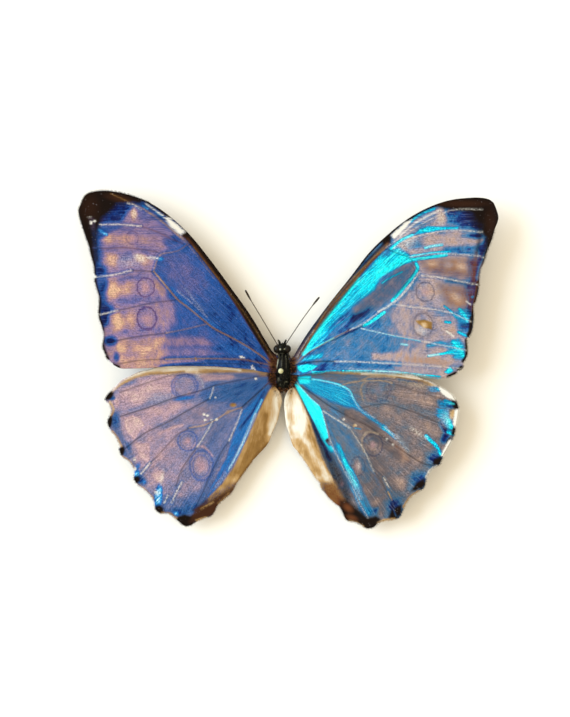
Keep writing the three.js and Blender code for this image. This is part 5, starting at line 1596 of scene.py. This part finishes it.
horn, tree, shader = new_material("brown_horn", {"Roughness": 0.4, "Specular IOR Level": 0.25})
where = place_in_mm(tree)
cloudy = noise(tree, where, 1.8, 3, 0.6)
colour = ramp(tree, cloudy, lit((0.35, 24, 15, 10), (0.65, 62, 42, 28)))
feed(tree, shader.inputs["Base Color"], colour)
roughen(tree, shader, noise(tree, where, 12, 2), 0.4, 0.00004)
legs = new_piece("legs", *together(parts), horn)
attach(legs, "root")
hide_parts("body")


# Hair
# Short dark hair, pale in places, lies back along the thorax and stands up on the head and palps.
# The wing roots and the rear of the thorax have brown tufts.
def hairs(roots, directions, lengths, width, droop, random):
    """Tapering strands of three sides with one bend."""
    count = len(roots)
    directions = directions / np.linalg.norm(directions, axis=1)[:, None]
    side = np.cross(directions, random.normal(size=(count, 3)))
    side /= np.linalg.norm(side, axis=1)[:, None]
    other = np.cross(directions, side)
    middle = roots + directions * (0.55 * lengths)[:, None]
    tip = roots + directions * lengths[:, None]
    tip[:, 2] -= droop * lengths
    verts, turns = [], np.linspace(0, 2 * np.pi, 3, endpoint=False)
    for places, size in ((roots, width), (middle, 0.7 * width)):
        for a in turns:
            verts.append(places + size * (math.cos(a) * side + math.sin(a) * other))
    verts = np.stack(verts + [tip], 1).reshape(-1, 3)
    one = [(0, 1, 4, 3), (1, 2, 5, 4), (2, 0, 3, 5), (3, 4, 6), (4, 5, 6), (5, 3, 6)]
    faces = [tuple(7 * n + i for i in face) for n in range(count) for face in one]
    return verts, faces


random = np.random.default_rng(11)
THORAX_HAIRS = 1700
along = random.uniform((MIDDLE[1] - 386) * GRID, (MIDDLE[1] - 354) * GRID, THORAX_HAIRS)
turn = random.uniform(-0.25, math.pi + 0.25, THORAX_HAIRS)
wide, high, level = thorax_section(along)
roots = np.column_stack([
    AXIS_X + 0.97 * wide * np.cos(turn), along, level + 0.93 * high * np.sin(turn),
])
outward = np.column_stack([np.cos(turn), np.full(THORAX_HAIRS, -2.2), 0.34 * np.sin(turn)])
outward += random.normal(scale=0.22, size=(THORAX_HAIRS, 3))
lengths = random.uniform(0.5, 1.3, THORAX_HAIRS)
parts = [hairs(roots, outward, lengths, 0.028, 0.25, random)]
HEAD_HAIRS = 700
spread = random.normal(size=(HEAD_HAIRS, 3))
spread /= np.linalg.norm(spread, axis=1)[:, None]
spread[:, 2] = np.abs(spread[:, 2])
roots = HEAD + spread * (1.2, 1.45, 1.25)
roots[:, 1] += 0.1
lean = spread + (0, 0.35, 0.25) + random.normal(scale=0.2, size=(HEAD_HAIRS, 3))
parts.append(hairs(roots, lean, random.uniform(0.25, 0.6, HEAD_HAIRS), 0.025, 0.1, random))
PALP_HAIRS = 420
for side in (-1, 1):
    share = random.uniform(0, 1, PALP_HAIRS)
    roots = HEAD + np.column_stack([
        side * (0.5 + 0.5 * share), 0.9 + 1.5 * share, -0.5 + 1.2 * share**2,
    ]) + random.normal(scale=0.12, size=(PALP_HAIRS, 3))
    lean = np.column_stack([side * 0.5 + 0 * share, 0.9 + 0 * share, 0.7 + 0 * share])
    lean += random.normal(scale=0.5, size=(PALP_HAIRS, 3))
    parts.append(hairs(roots, lean, random.uniform(0.2, 0.5, PALP_HAIRS), 0.032, 0, random))

dark_hair, tree, shader = new_material("dark_hair", {"Roughness": 0.5, "Specular IOR Level": 0.06})
where = place_in_mm(tree)
mixed = noise(tree, scaled(tree, where, (2.2, 0.3, 1)), 1.6, 3, 0.7)
# The pale end of the ramp gives painted highlights: pale streaks of light along the hair.
blacks = lit((0.46, 3, 3, 2), (0.57, 24, 23, 18), (0.66, 150, 146, 116))
colour = ramp(tree, mixed, blacks)
feed(tree, shader.inputs["Base Color"], colour)
body_hair = new_piece("body_hair", *together(parts), dark_hair)
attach(body_hair, "root")

TUFT_HAIRS = 420
parts = []
TUFT_PLACES = {  # on the grid, and the height
    -1: [(273.5, 360, 5.2), (273, 368, 5.3), (272.5, 375.5, 4.7), (273.5, 381, 4.4),
         (277, 386.5, 4), (281.5, 388.5, 3.8)],
    1: [(292, 362, 5.2), (293, 368.5, 5.3), (293, 374.5, 4.9), (292.5, 382, 4.4),
        (289.5, 387, 4), (286, 388.5, 3.8)],
}
for side, centres in TUFT_PLACES.items():
    for x, y, z in centres:
        centre = (*to_mm([(x, y)])[0], z)
        roots = centre + random.normal(scale=(0.5, 0.75, 0.12), size=(TUFT_HAIRS, 3))
        lean = np.column_stack([
            side * random.uniform(0.3, 1.2, TUFT_HAIRS), random.normal(-0.5, 0.5, TUFT_HAIRS),
            random.uniform(0.05, 0.35, TUFT_HAIRS),
        ])
        parts.append(hairs(roots, lean, random.uniform(0.5, 1.5, TUFT_HAIRS), 0.025, 0.15, random))
brown_hair, tree, shader = new_material("brown_hair", {"Roughness": 0.5, "Specular IOR Level": 0.15})
where = place_in_mm(tree)
mixed = noise(tree, scaled(tree, where, (1, 1.4, 1)), 1.5, 3, 0.7)
# The browns are the tufts' own; the bright orange end is painted highlight on them.
browns = lit((0.38, 22, 13, 9), (0.54, 84, 46, 26), (0.68, 206, 138, 74))
colour = ramp(tree, mixed, browns)
feed(tree, shader.inputs["Base Color"], colour)
tufts = new_piece("wing_root_tufts", *together(parts), brown_hair)
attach(tufts, "root")


# Antennae
# Two fine jointed horn threads that rise forwards from the head and end in slim clubs.
ANTENNA_RADIUS = 0.13
CLUB_RADIUS = 0.3
CLUB_START = 0.8  # share of the length
ANTENNA_RISE = 3.2
JOINT_LENGTH = 0.42
ANTENNAE = {
    "left": [(277.4, 344.6), (272.5, 336.5), (261, 317), (251, 300.5), (245.2, 290)],
    "right": [(285.8, 344.4), (291.5, 335.5), (303, 318.5), (313, 305), (319.5, 297)],
}
for side, points in ANTENNAE.items():
    flat = to_mm(points)
    from_base = np.linalg.norm(flat - flat[0], axis=1)
    line = np.column_stack([flat, HEAD[2] + 0.75 + ANTENNA_RISE * (from_base / from_base[-1]) ** 0.8])
    line = smooth_line(line, 0.08)
    share = np.linspace(0, 1, len(line))
    club = np.sin(np.pi * np.clip((share - CLUB_START) / (1 - CLUB_START), 0, 1) / 1.3)
    thick = ANTENNA_RADIUS + (CLUB_RADIUS - ANTENNA_RADIUS) * club
    beads = np.abs(np.sin(np.pi * share * from_base[-1] / JOINT_LENGTH))
    thick *= 0.86 + 0.14 * beads**0.5
    thick[-3:] *= (0.85, 0.6, 0.25)
    thick[:4] *= (1.5, 1.6, 1.5, 1.2)
    antenna = new_piece(f"{side}_antenna", *tube(line, thick, sides=12), horn)
    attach(antenna, "root")
    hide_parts(f"antenna_{side}")


# Pin
# A thin steel pin goes down through the thorax, left of the middle. Its small ball head is cream.
PIN = to_mm([(280.8, 371)])[0]
PIN_RADIUS = 0.25
PIN_HEAD_RADIUS = 0.75
PIN_HEAD_HEIGHT = 8.4
shaft = np.array([(*PIN, z) for z in np.linspace(0, PIN_HEAD_HEIGHT, 12)])
turn = np.linspace(-math.pi / 2, math.pi / 2, 25)
ball_path = np.array([(*PIN, PIN_HEAD_HEIGHT + PIN_HEAD_RADIUS * up) for up in np.sin(turn)])
steel, tree, shader = new_material("pin_steel", {"Metallic": 1.0, "Roughness": 0.3})
where = place_in_mm(tree)
colour = ramp(tree, noise(tree, where, 3, 3), [(0.35, (0.42, 0.41, 0.38)), (0.7, (0.62, 0.6, 0.56))])
feed(tree, shader.inputs["Base Color"], colour)
enamel, tree, shader = new_material("cream_enamel", {"Roughness": 0.2, "Coat Weight": 0.3})
where = place_in_mm(tree)
colour = ramp(tree, noise(tree, where, 2.2, 3), lit((0.35, 206, 200, 138), (0.7, 240, 236, 190)))
feed(tree, shader.inputs["Base Color"], colour)
shaft_part = tube(shaft, np.full(len(shaft), PIN_RADIUS), sides=20)
ball_part = tube(ball_path, np.maximum(0.01, PIN_HEAD_RADIUS * np.cos(turn)), sides=32)
pin = new_piece("pin_with_head", *together([shaft_part, ball_part]), steel)
pin.data.materials.append(enamel)
slots = [0] * len(shaft_part[1]) + [1] * len(ball_part[1])
pin.data.polygons.foreach_set("material_index", slots)
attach(pin, "root")
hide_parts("pin")
